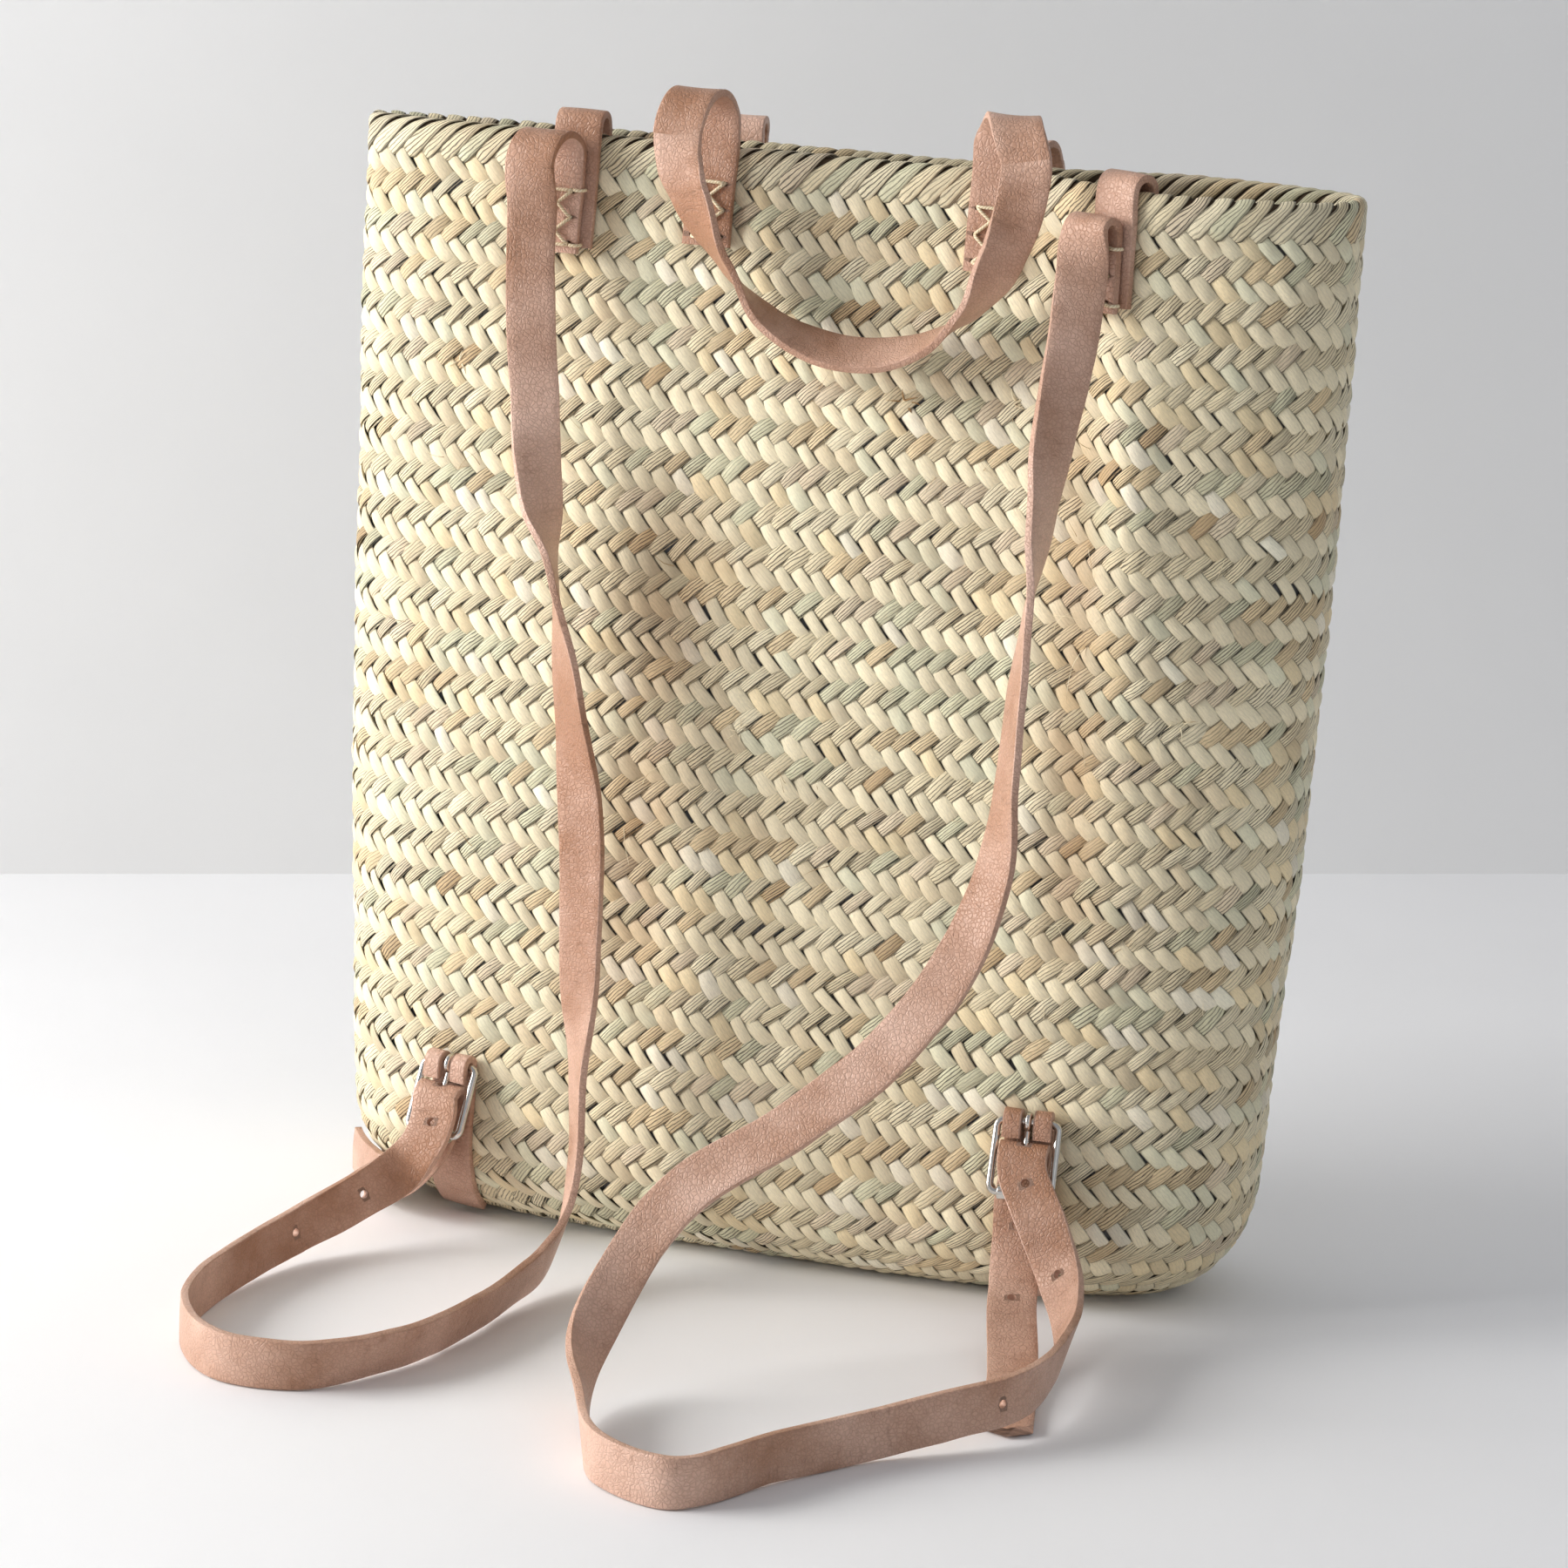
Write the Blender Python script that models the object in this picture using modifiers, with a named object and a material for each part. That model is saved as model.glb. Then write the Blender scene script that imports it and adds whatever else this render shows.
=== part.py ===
"""Woven palm-leaf pack basket with leather carry handles, shoulder straps and two roller buckles.

Lengths are metres. +Z is up, +X runs along the width and -Y is the side with the shoulder straps.
The origin is the middle of the flat underside, where the basket rests.
"""

import math

import bmesh
import bpy
from mathutils import Matrix, Vector

# Woven body
HEIGHT = 0.436
RIM_HALF_WIDTH = 0.199
BASE_HALF_WIDTH = 0.183
BASE_HALF_DEPTH = 0.066
MOUTH_HALF_DEPTH = 0.013
NEAR_BULGE = 0.034
FAR_BULGE = 0.020
BULGE_START = 0.072
BULGE_LENGTH = 0.064
EDGE_RADIUS = 0.040
WALL = 0.005
RIM_BAND_HEIGHT = 0.0125
RIM_BAND_PROUD = 0.0005
COURSE_GAP = 0.0003
WALL_COURSES = 6
PLAN_POWER = 2.8
WIDTH_TAPER_POWER = 2.2
DEPTH_TAPER_POWER = 1.3
AROUND = 80
EDGE_STEPS = 5

# Leather and thread
LEATHER = 0.003
STRAP_WIDTH = 0.019
SEAT_GAP = 0.0009
LAYER_GAP = 0.0003
CUT_GAP = 0.0005
GROUND_GAP = 0.0005
PATCH_LENGTH = 0.028
TIP_LENGTH = 0.007
PATCH_LIFT = 0.0008
THREAD = 0.0012
STITCH_INSET = 0.0035

# Carry handles
NEAR_CENTRE = 0.010
NEAR_HALF_SPREAD = 0.068
FAR_CENTRE = 0.0065
FAR_HALF_SPREAD = 0.0595
HANDLE_ROOTS = (-0.051, 0.061)
HANDLE_ROOT_DROP = 0.0375
HANDLE_LOOP_RISE = 0.0095
HANDLE_LOOP_RADIUS = 0.0125
FAR_LOOP_RISE = 0.0015
FAR_LOOP_RADIUS = 0.006
FAR_LEAN = 0.022
HANDLE_DROP = 0.0925
FAR_DROP = 0.099

# Shoulder straps and the straps that pass over the rim under their ends
LEFT_ROOT_X = -0.111
RIGHT_ROOT_X = 0.112
STRAP_ROOT_DROP = 0.045
LEFT_FOLD_DROP = 0.007
LEFT_FOLD_RADIUS = 0.008
LEFT_FOLD_SHIFT = -0.007
RIGHT_FOLD_DROP = 0.0145
RIGHT_FOLD_RADIUS = 0.0045
RIGHT_FOLD_SHIFT = 0.0
RIM_STRAP_DROP = 0.043
LEFT_RIM_STRAP_SLIDE = 0.004
LEFT_RIM_STRAP_RISE = 0.0026
RIGHT_RIM_STRAP_SLIDE = 0.003
RIGHT_RIM_STRAP_RISE = 0.0
STRAP_REACH = 0.250
HOLE_RADIUS = 0.0018
CUTTER_TURN = math.radians(7)

# Buckles
LEFT_BUCKLE_SHARE = -0.6995
LEFT_BUCKLE_HEIGHT = 0.068
RIGHT_BUCKLE_SHARE = 0.5956
RIGHT_BUCKLE_HEIGHT = 0.080
WIRE_RADIUS = 0.0015
BUCKLE_HALF_WIDTH = 0.012
BUCKLE_LENGTH = 0.028
BUCKLE_CORNER = 0.003
BUCKLE_TILT = math.radians(24)
RUNNING_GAP = 0.0003
ROLLER_RADIUS = 0.003
ROLLER_HALF_LENGTH = 0.0086
PRONG_RADIUS = 0.0012
PRONG_LENGTH = 0.022
PRONG_SLOT = 0.005
PRONG_HOLE_RADIUS = 0.0019
PRONG_HOLE_LENGTH = 0.008
HOOK_FOLD_RADIUS = 0.0046
HOOK_TOP = 0.0095
TAB_FRONT = 0.0055
TAB_START_TURN = math.radians(33)
CUT_OVERRUN = 0.002

FINE_STEP = 0.001
LONGEST_FACE = 0.014
MOST_TURN = math.radians(15)
SEAT_SHARES = (0.0, 0.33, 0.66, 0.94, 1.0)

# Shape of a handle from its left fold to its right one: across in half spreads, out from the fold in loop
# radii, down in drops, and the way its width points.
HANDLE_SHARES = (
    (-0.985, 1.02, 0.28, (-0.98, 0.20, 0.0)),
    (-0.91, 1.08, 0.41, (-0.90, 0.43, 0.0)),
    (-0.69, 1.00, 0.68, (-0.60, 0.78, 0.15)),
    (-0.43, 0.90, 0.89, (-0.25, 0.90, 0.35)),
    (-0.10, 0.84, 0.99, (-0.08, 0.87, 0.48)),
    (0.19, 0.84, 1.00, (0.00, 0.86, 0.50)),
    (0.49, 0.86, 0.93, (0.20, 0.87, 0.42)),
    (0.735, 0.96, 0.78, (0.45, 0.85, 0.25)),
    (0.91, 1.05, 0.54, (0.80, 0.60, 0.05)),
    (1.00, 1.06, 0.29, (0.98, 0.20, 0.0)),
)

# Shoulder straps where they hang: across from their sewn end and out from the middle plane, in reaches, up in
# heights above a strap that lies on its edge on the ground, and the way the width points. On the ground and
# in the tails: across and out from the buckle's bar, and up, in reaches.
LEFT_HANG_SHARES = (
    (-0.024, 0.148, 0.9171, (0.97, 0.24, 0.0)),
    (-0.0121, 0.18, 0.8711, (0.97, 0.24, 0.0)),
    (0.0118, 0.204, 0.7571, (0.94, 0.34, 0.0)),
    (0.0356, 0.228, 0.6741, (0.66, 0.75, 0.0)),
    (0.0683, 0.252, 0.6081, (-0.27, 0.96, 0.0)),
    (0.12, 0.296, 0.5001, (-0.75, 0.66, 0.0)),
    (0.1638, 0.336, 0.3881, (-0.98, 0.21, 0.0)),
    (0.1797, 0.36, 0.2731, (-0.93, 0.36, 0.0)),
    (0.1877, 0.368, 0.1541, (-0.52, 0.86, 0.0)),
    (0.194, 0.382, 0.0851, (-0.46, 0.88, -0.1)),
    (0.1877, 0.406, 0.0351, (-0.35, 0.75, -0.55)),
)
LEFT_GROUND_SHARES = (
    (0.2422, 0.2327, 0.0159, (-0.15, 0.25, -0.96)),
    (0.2327, 0.3067, 0.0037, (-0.08, 0.12, -0.99)),
    (0.2088, 0.4347, 0.0, (0.0, 0.0, -1.0)),
    (0.1531, 0.6227, 0.0, (0.0, 0.0, -1.0)),
    (0.0568, 0.7547, 0.0, (0.0, 0.0, -1.0)),
    (-0.0594, 0.7507, 0.0, (0.0, 0.0, -1.0)),
    (-0.1597, 0.6467, 0.0, (0.0, 0.0, -1.0)),
    (-0.2154, 0.5107, 0.0, (0.0, 0.0, -1.0)),
    (-0.2274, 0.3467, 0.0019, (0.0, 0.0, -1.0)),
    (-0.1916, 0.2117, 0.0159, (0.05, 0.0, -1.0)),
    (-0.1199, 0.1267, 0.0595, (0.20, 0.0, -0.98)),
)
RIGHT_HANG_SHARES = (
    (-0.0054, 0.204, 0.9171, (0.96, 0.28, 0.0)),
    (-0.0158, 0.228, 0.8491, (0.90, 0.43, 0.0)),
    (-0.0317, 0.264, 0.7731, (0.64, 0.77, 0.0)),
    (-0.0396, 0.296, 0.7021, (0.24, 0.97, 0.0)),
    (-0.0436, 0.336, 0.6281, (-0.27, 0.96, 0.0)),
    (-0.0436, 0.376, 0.5571, (-0.47, 0.88, 0.0)),
    (-0.0396, 0.416, 0.4861, (-0.53, 0.85, 0.05)),
    (-0.046, 0.464, 0.4151, (-0.72, 0.60, 0.25)),
    (-0.0962, 0.52, 0.3371, (-0.72, 0.30, 0.50)),
    (-0.1758, 0.58, 0.2681, (-0.72, 0.10, 0.62)),
    (-0.288, 0.64, 0.2021, (-0.72, 0.0, 0.65)),
    (-0.3923, 0.712, 0.1351, (-0.68, 0.0, 0.70)),
    (-0.4679, 0.792, 0.0691, (-0.60, 0.0, 0.80)),
    (-0.4838, 0.88, 0.0211, (-0.45, 0.0, 0.89)),
)
RIGHT_GROUND_SHARES = (
    (-0.4416, 0.7642, 0.0028, (-0.20, 0.0, 0.98)),
    (-0.3739, 0.8922, 0.0, (0.0, 0.0, 1.0)),
    (-0.2657, 0.9362, 0.0, (0.0, 0.0, 1.0)),
    (-0.1415, 0.7802, 0.0, (0.0, 0.0, 1.0)),
    (-0.05, 0.6402, 0.0019, (0.0, 0.0, 1.0)),
    (0.032, 0.5002, 0.0176, (0.0, 0.0, 1.0)),
    (0.0917, 0.3802, 0.0272, (0.05, 0.0, 1.0)),
    (0.1323, 0.2802, 0.0342, (0.20, 0.0, 0.96)),
    (0.1339, 0.1742, 0.0473, (0.40, 0.10, 0.90)),
    (0.1005, 0.1002, 0.0926, (0.72, 0.05, 0.69)),
)
LEFT_TAIL_SHARES = (
    (-0.0578, 0.0287, 0.056, (0.79, 0.0, -0.61)),
    (-0.1001, -0.0113, 0.0141, (0.45, -0.20, -0.87)),
    (-0.1438, -0.0613, 0.0019, (0.0, 0.0, -1.0)),
    (-0.1948, -0.1293, 0.0037, (0.0, 0.0, -1.0)),
    (-0.2234, -0.1733, 0.0072, (0.0, 0.0, -1.0)),
)
RIGHT_TAIL_SHARES = (
    (0.001, 0.0352, 0.131, (0.99, 0.10, 0.0)),
    (0.0097, 0.0702, 0.0752, (0.99, 0.10, 0.0)),
    (0.0304, 0.1602, 0.0316, (0.98, 0.17, 0.0)),
    (0.0559, 0.2402, -0.0085, (0.98, 0.20, 0.0)),
    (0.0838, 0.3522, -0.0277, (0.98, 0.22, 0.0)),
    (0.1156, 0.5002, -0.0295, (0.98, 0.22, 0.0)),
)
# The strap inside each buckle: across in buckle half widths, out in fold radii, down in buckle lengths.
LEFT_HOOK_SHARES = ((-0.30, 1.10, 0.72, (0.93, 0.0, -0.36)), (-0.72, 1.25, 0.93, (0.75, 0.0, -0.66)))
RIGHT_HOOK_SHARES = ((0.03, 1.08, 0.72, (1.0, 0.0, 0.05)), (0.16, 1.25, 0.95, (0.96, 0.0, 0.27)))
HOOK_CUT_SHARES = {
    "left": (-1.22, 1.40, 1.13, (0.50, 0.0, -0.86)),
    "right": (0.45, 1.42, 1.17, (0.86, 0.0, 0.50)),
}
HOOK_TAIL_SHARES = {"left": (-0.20, -1.12, 1.07), "right": (-0.06, -1.12, 1.05)}
# Where the adjusting holes lie, as shares of a strap's run and tail.
RUN_HOLE_SHARES = (0.86, 0.915, 0.965)
TAIL_HOLE_SHARES = (0.12, 0.55)


def clear_scene():
    """Removes every object that the scene holds."""
    for old in list(bpy.data.objects):
        bpy.data.objects.remove(old, do_unlink=True)


def new_collection(name, hidden=False):
    """A collection linked to the scene; a hidden one holds cutters."""
    made = bpy.data.collections.new(name)
    bpy.context.scene.collection.children.link(made)
    made.hide_render = hidden
    return made


def new_material(name, colour, roughness, metallic=0.0):
    """A Principled finish."""
    made = bpy.data.materials.new(name)
    made.use_nodes = True
    shader = made.node_tree.nodes["Principled BSDF"]
    shader.inputs["Base Color"].default_value = (*colour, 1.0)
    shader.inputs["Roughness"].default_value = roughness
    shader.inputs["Metallic"].default_value = metallic
    return made


def smoothstep(value):
    """0 below 0, 1 above 1, and a smooth rise between."""
    share = min(max(value, 0.0), 1.0)
    return share * share * (3 - 2 * share)


def half_width(z):
    """Half the basket's outer width at a height."""
    rise = min(max(z / HEIGHT, 0.0), 1.0)
    return RIM_HALF_WIDTH - (RIM_HALF_WIDTH - BASE_HALF_WIDTH) * (1 - rise) ** WIDTH_TAPER_POWER


def half_depth(side, x, z):
    """How far the outer wall stands from the middle plane, on the near side (-1) or the far one (1)."""
    bulge = NEAR_BULGE if side < 0 else FAR_BULGE
    mouth = MOUTH_HALF_DEPTH + bulge * smoothstep((x - BULGE_START) / BULGE_LENGTH)
    rise = min(max(z / HEIGHT, 0.0), 1.0)
    return BASE_HALF_DEPTH + (mouth - BASE_HALF_DEPTH) * rise**DEPTH_TAPER_POWER


def plan_point(turn, z, inset):
    """The outer wall's point at a turn round the plan, drawn in by an inset."""
    share = math.cos(turn)
    x = (half_width(z) - inset) * share
    side = math.copysign(1, math.sin(turn))
    depth = (half_depth(side, x, z) - inset) * max(1 - abs(share) ** PLAN_POWER, 0.0) ** (1 / PLAN_POWER)
    return Vector((x, side * depth, z))


def edge_inset(z):
    """How far the rounded bottom edge is drawn in at a height."""
    if z >= EDGE_RADIUS:
        return 0.0
    return EDGE_RADIUS - math.sqrt(EDGE_RADIUS**2 - (EDGE_RADIUS - z) ** 2)


def wall_y(side, x, z):
    """The y of the outer wall on the near or far side, on the flats between the plan's points."""
    inset = edge_inset(z)
    step = math.tau / AROUND
    turn = math.acos(x / (half_width(z) - inset))
    first = plan_point(side * step * math.floor(turn / step), z, inset)
    second = plan_point(side * step * math.ceil(turn / step), z, inset)
    share = (x - first.x) / (second.x - first.x) if first.x != second.x else 0.0
    return first.y + (second.y - first.y) * share


def wall_yaw(side, x, z):
    """The wall's turn about Z there, over the width of a strap."""
    half = STRAP_WIDTH / 2
    return math.atan2(wall_y(side, x + half, z) - wall_y(side, x - half, z), STRAP_WIDTH)


def mesh_object(name, bm, collection, material):
    """An object at the origin with this mesh and finish."""
    mesh = bpy.data.meshes.new(name)
    bm.to_mesh(mesh)
    bm.free()
    made = bpy.data.objects.new(name, mesh)
    collection.objects.link(made)
    mesh.materials.append(material)
    return made


def ring_body(name, profile, collection, material):
    """A closed ring round the basket, its section given as (height, inset) corners."""
    bm = bmesh.new()
    corners = len(profile)
    bmesh.ops.create_grid(bm, x_segments=AROUND, y_segments=corners, size=1)
    for vert in bm.verts:
        turn = math.pi * (vert.co.x + 1)
        z, inset = profile[round((vert.co.y + 1) / 2 * corners) % corners]
        vert.co = plan_point(turn, z, inset)
    bmesh.ops.remove_doubles(bm, verts=bm.verts, dist=COURSE_GAP / 10)
    bmesh.ops.recalc_face_normals(bm, faces=bm.faces)
    return mesh_object(name, bm, collection, material)


def build_base(collection, straw):
    """The flat oval middle of the underside, where the braid starts."""
    curve = bpy.data.curves.new("base_coil", "CURVE")
    curve.dimensions = "2D"
    curve.fill_mode = "BOTH"
    curve.extrude = WALL / 2
    spline = curve.splines.new("POLY")
    outline = [plan_point(math.tau * i / AROUND, 0, EDGE_RADIUS + 2 * COURSE_GAP) for i in range(AROUND)]
    spline.points.add(len(outline) - 1)
    for point, place in zip(spline.points, outline):
        point.co = (place.x, place.y, 0, 1)
    spline.use_cyclic_u = True
    made = bpy.data.objects.new("base_coil", curve)
    made.location = (0, 0, WALL / 2)
    collection.objects.link(made)
    curve.materials.append(straw)


def build_bottom_edge(collection, straw):
    """The rounded course that turns the base up into the wall."""
    profile = []
    turns = [math.pi / 2 * step / EDGE_STEPS for step in range(EDGE_STEPS + 1)]
    for radius, angles in ((EDGE_RADIUS, turns), (EDGE_RADIUS - WALL, reversed(turns))):
        for angle in angles:
            profile.append((EDGE_RADIUS - radius * math.cos(angle), EDGE_RADIUS - radius * math.sin(angle)))
    ring_body("bottom_edge_course", profile, collection, straw)


def build_wall(collection, straw):
    """The courses of braid, one above the other."""
    top = HEIGHT - RIM_BAND_HEIGHT
    course = (top - EDGE_RADIUS) / WALL_COURSES
    for number in range(WALL_COURSES):
        low = EDGE_RADIUS + course * number + COURSE_GAP
        high = EDGE_RADIUS + course * (number + 1)
        profile = ((low, 0), (high, 0), (high, WALL), (low, WALL))
        ring_body(f"wall_course_{number + 1}", profile, collection, straw)


def build_rim(collection, straw):
    """The wrapped band round the mouth, a little prouder than the wall, with a rounded top."""
    low = HEIGHT - RIM_BAND_HEIGHT + COURSE_GAP
    shoulder = HEIGHT - WALL / 2
    outer = -RIM_BAND_PROUD
    inner = WALL + RIM_BAND_PROUD
    profile = (
        (low, outer),
        (shoulder, outer),
        (HEIGHT, outer + WALL / 4),
        (HEIGHT, inner - WALL / 4),
        (shoulder, inner),
        (low, inner),
    )
    ring_body("rim_wrap", profile, collection, straw)


def slopes_at(places, spans):
    """The curve's direction at each station, weighted by the spans beside it."""
    chords = [(after - before) / span for before, after, span in zip(places, places[1:], spans)]
    inner = [
        (chords[i] * spans[i + 1] + chords[i + 1] * spans[i]) / (spans[i] + spans[i + 1])
        for i in range(len(chords) - 1)
    ]
    return [2 * chords[0] - inner[0], *inner, 2 * chords[-1] - inner[-1]]


def smooth_route(stations, step):
    """Evenly stepped (place, width direction) pairs on a smooth curve through the stations."""
    places = [place for place, _ in stations]
    spans = [(after - before).length for before, after in zip(places, places[1:])]
    slopes = slopes_at(places, spans)
    dense = []
    for i, span in enumerate(spans):
        parts = 4 * max(round(span / step), 1)
        for k in range(parts):
            t = k / parts
            rise = t * t * (3 - 2 * t)
            place = places[i].lerp(places[i + 1], rise)
            place = place + span * (t * (1 - t) ** 2 * slopes[i] - t * t * (1 - t) * slopes[i + 1])
            dense.append((place, stations[i][1].lerp(stations[i + 1][1], rise)))
    dense.append(stations[-1])
    reach = [0.0]
    for (before, _), (after, _) in zip(dense, dense[1:]):
        reach.append(reach[-1] + (after - before).length)
    pieces = max(round(reach[-1] / step), 1)
    even = [dense[0]]
    at = 0
    for k in range(1, pieces):
        wanted = reach[-1] * k / pieces
        while reach[at + 1] < wanted:
            at += 1
        share = (wanted - reach[at]) / (reach[at + 1] - reach[at])
        (place, width), (next_place, next_width) = dense[at], dense[at + 1]
        even.append((place.lerp(next_place, share), width.lerp(next_width, share)))
    even.append(dense[-1])
    return even


def frames_along(route):
    """(place, tangent, width direction, grain side's normal) at each step."""
    frames = []
    places = [place for place, _ in route]
    for i, (place, width) in enumerate(route):
        if i == 0:
            tangent = 4 * places[1] - 3 * places[0] - places[2]
        elif i == len(route) - 1:
            tangent = 3 * places[i] - 4 * places[i - 1] + places[i - 2]
        else:
            tangent = places[i + 1] - places[i - 1]
        tangent.normalize()
        across = (width - tangent * width.dot(tangent)).normalized()
        frames.append((place, tangent, across, tangent.cross(across)))
    return frames


def thinned(frames):
    """The frames that the shape needs: closer where the strap bends or twists, and always both ends."""
    kept = [frames[0], frames[1]]
    for before, frame in zip(frames[2:], frames[3:]):
        far = (frame[0] - kept[-1][0]).length > LONGEST_FACE
        bent = frame[1].angle(kept[-1][1]) > MOST_TURN
        twisted = frame[2].angle(kept[-1][2]) > MOST_TURN
        if far or bent or twisted:
            kept.append(before)
    if kept[-1] is not frames[-2]:
        kept.append(frames[-2])
    kept.append(frames[-1])
    return kept


def drawn_back(frame, distance):
    """A frame moved along its own strap."""
    place, tangent, across, normal = frame
    return place + tangent * distance, tangent, across, normal


def build_strap(name, frames, collection, leather, tip=False):
    """A flat leather strap along the frames, with a pointed end where tip is set."""
    if tip:
        end = frames[-1]
        frames = [frame for frame in frames if (frame[0] - end[0]).length > TIP_LENGTH + LEATHER] + [end]
    steps = len(frames) - 1
    rows = 2 if tip else 1
    bm = bmesh.new()
    bmesh.ops.create_grid(bm, x_segments=steps, y_segments=rows, size=1)
    for vert in bm.verts:
        index = round((vert.co.x + 1) / 2 * steps)
        place, tangent, across, _ = frames[index]
        share = vert.co.y
        moved = place + across * (share * STRAP_WIDTH / 2)
        if tip and index == steps:
            moved = place - tangent * (TIP_LENGTH * abs(share)) + across * (share * STRAP_WIDTH / 2)
        vert.co = moved
    made = mesh_object(name, bm, collection, leather)
    thick = made.modifiers.new("thickness", "SOLIDIFY")
    thick.thickness = LEATHER
    thick.offset = 0
    thick.use_even_offset = True
    return made


def punch(made, frame, cutters, steel, radius=HOLE_RADIUS, stretch=0.0):
    """Cuts a round hole, or a slot along the strap, through a strap at a frame."""
    place, tangent, across, normal = frame
    bm = bmesh.new()
    bmesh.ops.create_cone(
        bm, cap_ends=True, segments=12, radius1=radius, radius2=radius, depth=LEATHER * 3
    )
    bmesh.ops.rotate(bm, cent=(0, 0, 0), matrix=Matrix.Rotation(CUTTER_TURN, 3, "Z"), verts=bm.verts)
    if stretch:
        for vert in bm.verts:
            vert.co.x += math.copysign(stretch / 2, vert.co.x)
    turn = Matrix((tangent, across, normal)).transposed().to_4x4()
    bmesh.ops.transform(bm, matrix=Matrix.Translation(place) @ turn, verts=bm.verts)
    cutter = mesh_object(f"{made.name}_hole_cutter", bm, cutters, steel)
    cutter.hide_render = True
    cutter.display_type = "WIRE"
    cut = made.modifiers.new("hole", "BOOLEAN")
    cut.operation = "DIFFERENCE"
    cut.object = cutter


def wall_station(side, x, z, off, slide=0.0):
    """A strap station on the wall, its whole width clear of it by a distance and slid along it."""
    yaw = wall_yaw(side, x, z)
    outward = Vector((-math.sin(yaw), math.cos(yaw), 0)) * side
    width = Vector((math.cos(yaw), math.sin(yaw), 0))
    centre = Vector((x, wall_y(side, x, z), z))
    proud = 0.0
    for share in (-1.0, -0.5, 0.5, 1.0):
        near_x = x + (slide + share * STRAP_WIDTH / 2) * width.x
        point = Vector((near_x, wall_y(side, near_x, z), z))
        proud = max(proud, (point - centre).dot(outward))
    return centre + outward * (off + proud) + width * slide, width


def arc_stations(centre, radius, start, end, shift, steps, width):
    """Stations on an arc in the YZ plane, its x sliding by a shift; angle 0 points to -Y, 90 degrees up."""
    stations = []
    for k in range(steps + 1):
        angle = start + (end - start) * k / steps
        slide = shift * k / steps
        place = centre + Vector((slide, -math.cos(angle) * radius, math.sin(angle) * radius))
        stations.append((place, width))
    return stations


def handle_route(side):
    """The three stretches of a handle: both sewn ends up to their folds, and the strap between."""
    near = side < 0
    radius = HANDLE_LOOP_RADIUS if near else FAR_LOOP_RADIUS
    centre_z = HEIGHT + (HANDLE_LOOP_RISE if near else FAR_LOOP_RISE)
    bottom = HEIGHT - HANDLE_ROOT_DROP
    lean = 0.0 if near else FAR_LEAN
    seat = RIM_BAND_PROUD + SEAT_GAP + LEATHER / 2
    leg_y = max(abs(wall_station(side, x, HEIGHT, seat)[0].y) for x in HANDLE_ROOTS)
    fold_y = leg_y + radius
    middle_x = NEAR_CENTRE if near else FAR_CENTRE
    spread = NEAR_HALF_SPREAD if near else FAR_HALF_SPREAD
    drop = HANDLE_DROP if near else FAR_DROP
    outer_x = [middle_x + spread * sign for sign in (-1, 1)]

    def flip(stations):
        """The same stations on this handle's own side of the basket."""
        if near:
            return stations
        return [(Vector((p.x, -p.y, p.z)), Vector((-w.x, w.y, -w.z))) for p, w in stations]

    def seated(x, sign):
        """Stations up the wall from the sewn end's foot to the fold, as if on the near side."""
        stations = []
        for share in SEAT_SHARES:
            z = bottom + (HEIGHT - RIM_BAND_HEIGHT - bottom) * share
            place, width = wall_station(side, x, z, seat)
            mirrored = Vector((width.x, -side * width.y, 0))
            stations.append((Vector((place.x, -side * place.y, z)), mirrored * sign))
        for z in (HEIGHT, centre_z - FINE_STEP):
            stations.append((Vector((x, -leg_y, z)), Vector((sign, 0, 0))))
        return stations

    ends = []
    for x, outer, sign in zip(HANDLE_ROOTS, outer_x, (-1, 1)):
        centre = Vector((x, -fold_y, centre_z))
        width = Vector((sign, 0, 0))
        half_slide = (outer - x) / 2
        arc = arc_stations(centre, radius, math.pi, math.pi / 2, half_slide, 5, width)
        ends.append(flip(seated(x, sign) + arc))
    strap = []
    for x, outer, sign in zip(HANDLE_ROOTS, outer_x, (-1, 1)):
        centre = Vector(((x + outer) / 2, -fold_y, centre_z))
        width = Vector((sign, 0, 0))
        arc = arc_stations(centre, radius, math.pi / 2, 0, (outer - x) / 2, 5, width)
        strap.append(arc)
    middle = []
    top = centre_z + radius
    for across, out, down, width in HANDLE_SHARES:
        x = middle_x + spread * across
        y = -(fold_y + HANDLE_LOOP_RADIUS * (out - 1) + radius + lean * down)
        middle.append((Vector((x, y, top - drop * down)), Vector(width)))
    joined = strap[0] + middle + list(reversed(strap[1]))
    axis = Vector((middle_x, side * fold_y, top + LEATHER / 2))
    return ends, flip(joined), axis


def build_handle(name, side, collection, leather):
    """One carry handle: two sewn ends and the strap that swings from them."""
    ends, strap, axis = handle_route(side)
    for end, label in zip(ends, ("left", "right")):
        frames = frames_along(smooth_route(end, FINE_STEP))
        frames[-1] = drawn_back(frames[-1], -LAYER_GAP)
        build_strap(f"{name}_{label}_end", thinned(frames), collection, leather)
    pivot = bpy.data.objects.new(f"{name}_hinge", None)
    pivot.location = axis
    collection.objects.link(pivot)
    frames = frames_along(smooth_route(strap, FINE_STEP))
    frames[0] = drawn_back(frames[0], LAYER_GAP)
    frames[-1] = drawn_back(frames[-1], -LAYER_GAP)
    moving = build_strap(f"{name}_strap", thinned(frames), collection, leather)
    moving.data.transform(Matrix.Translation(-axis))
    moving.parent = pivot


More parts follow.
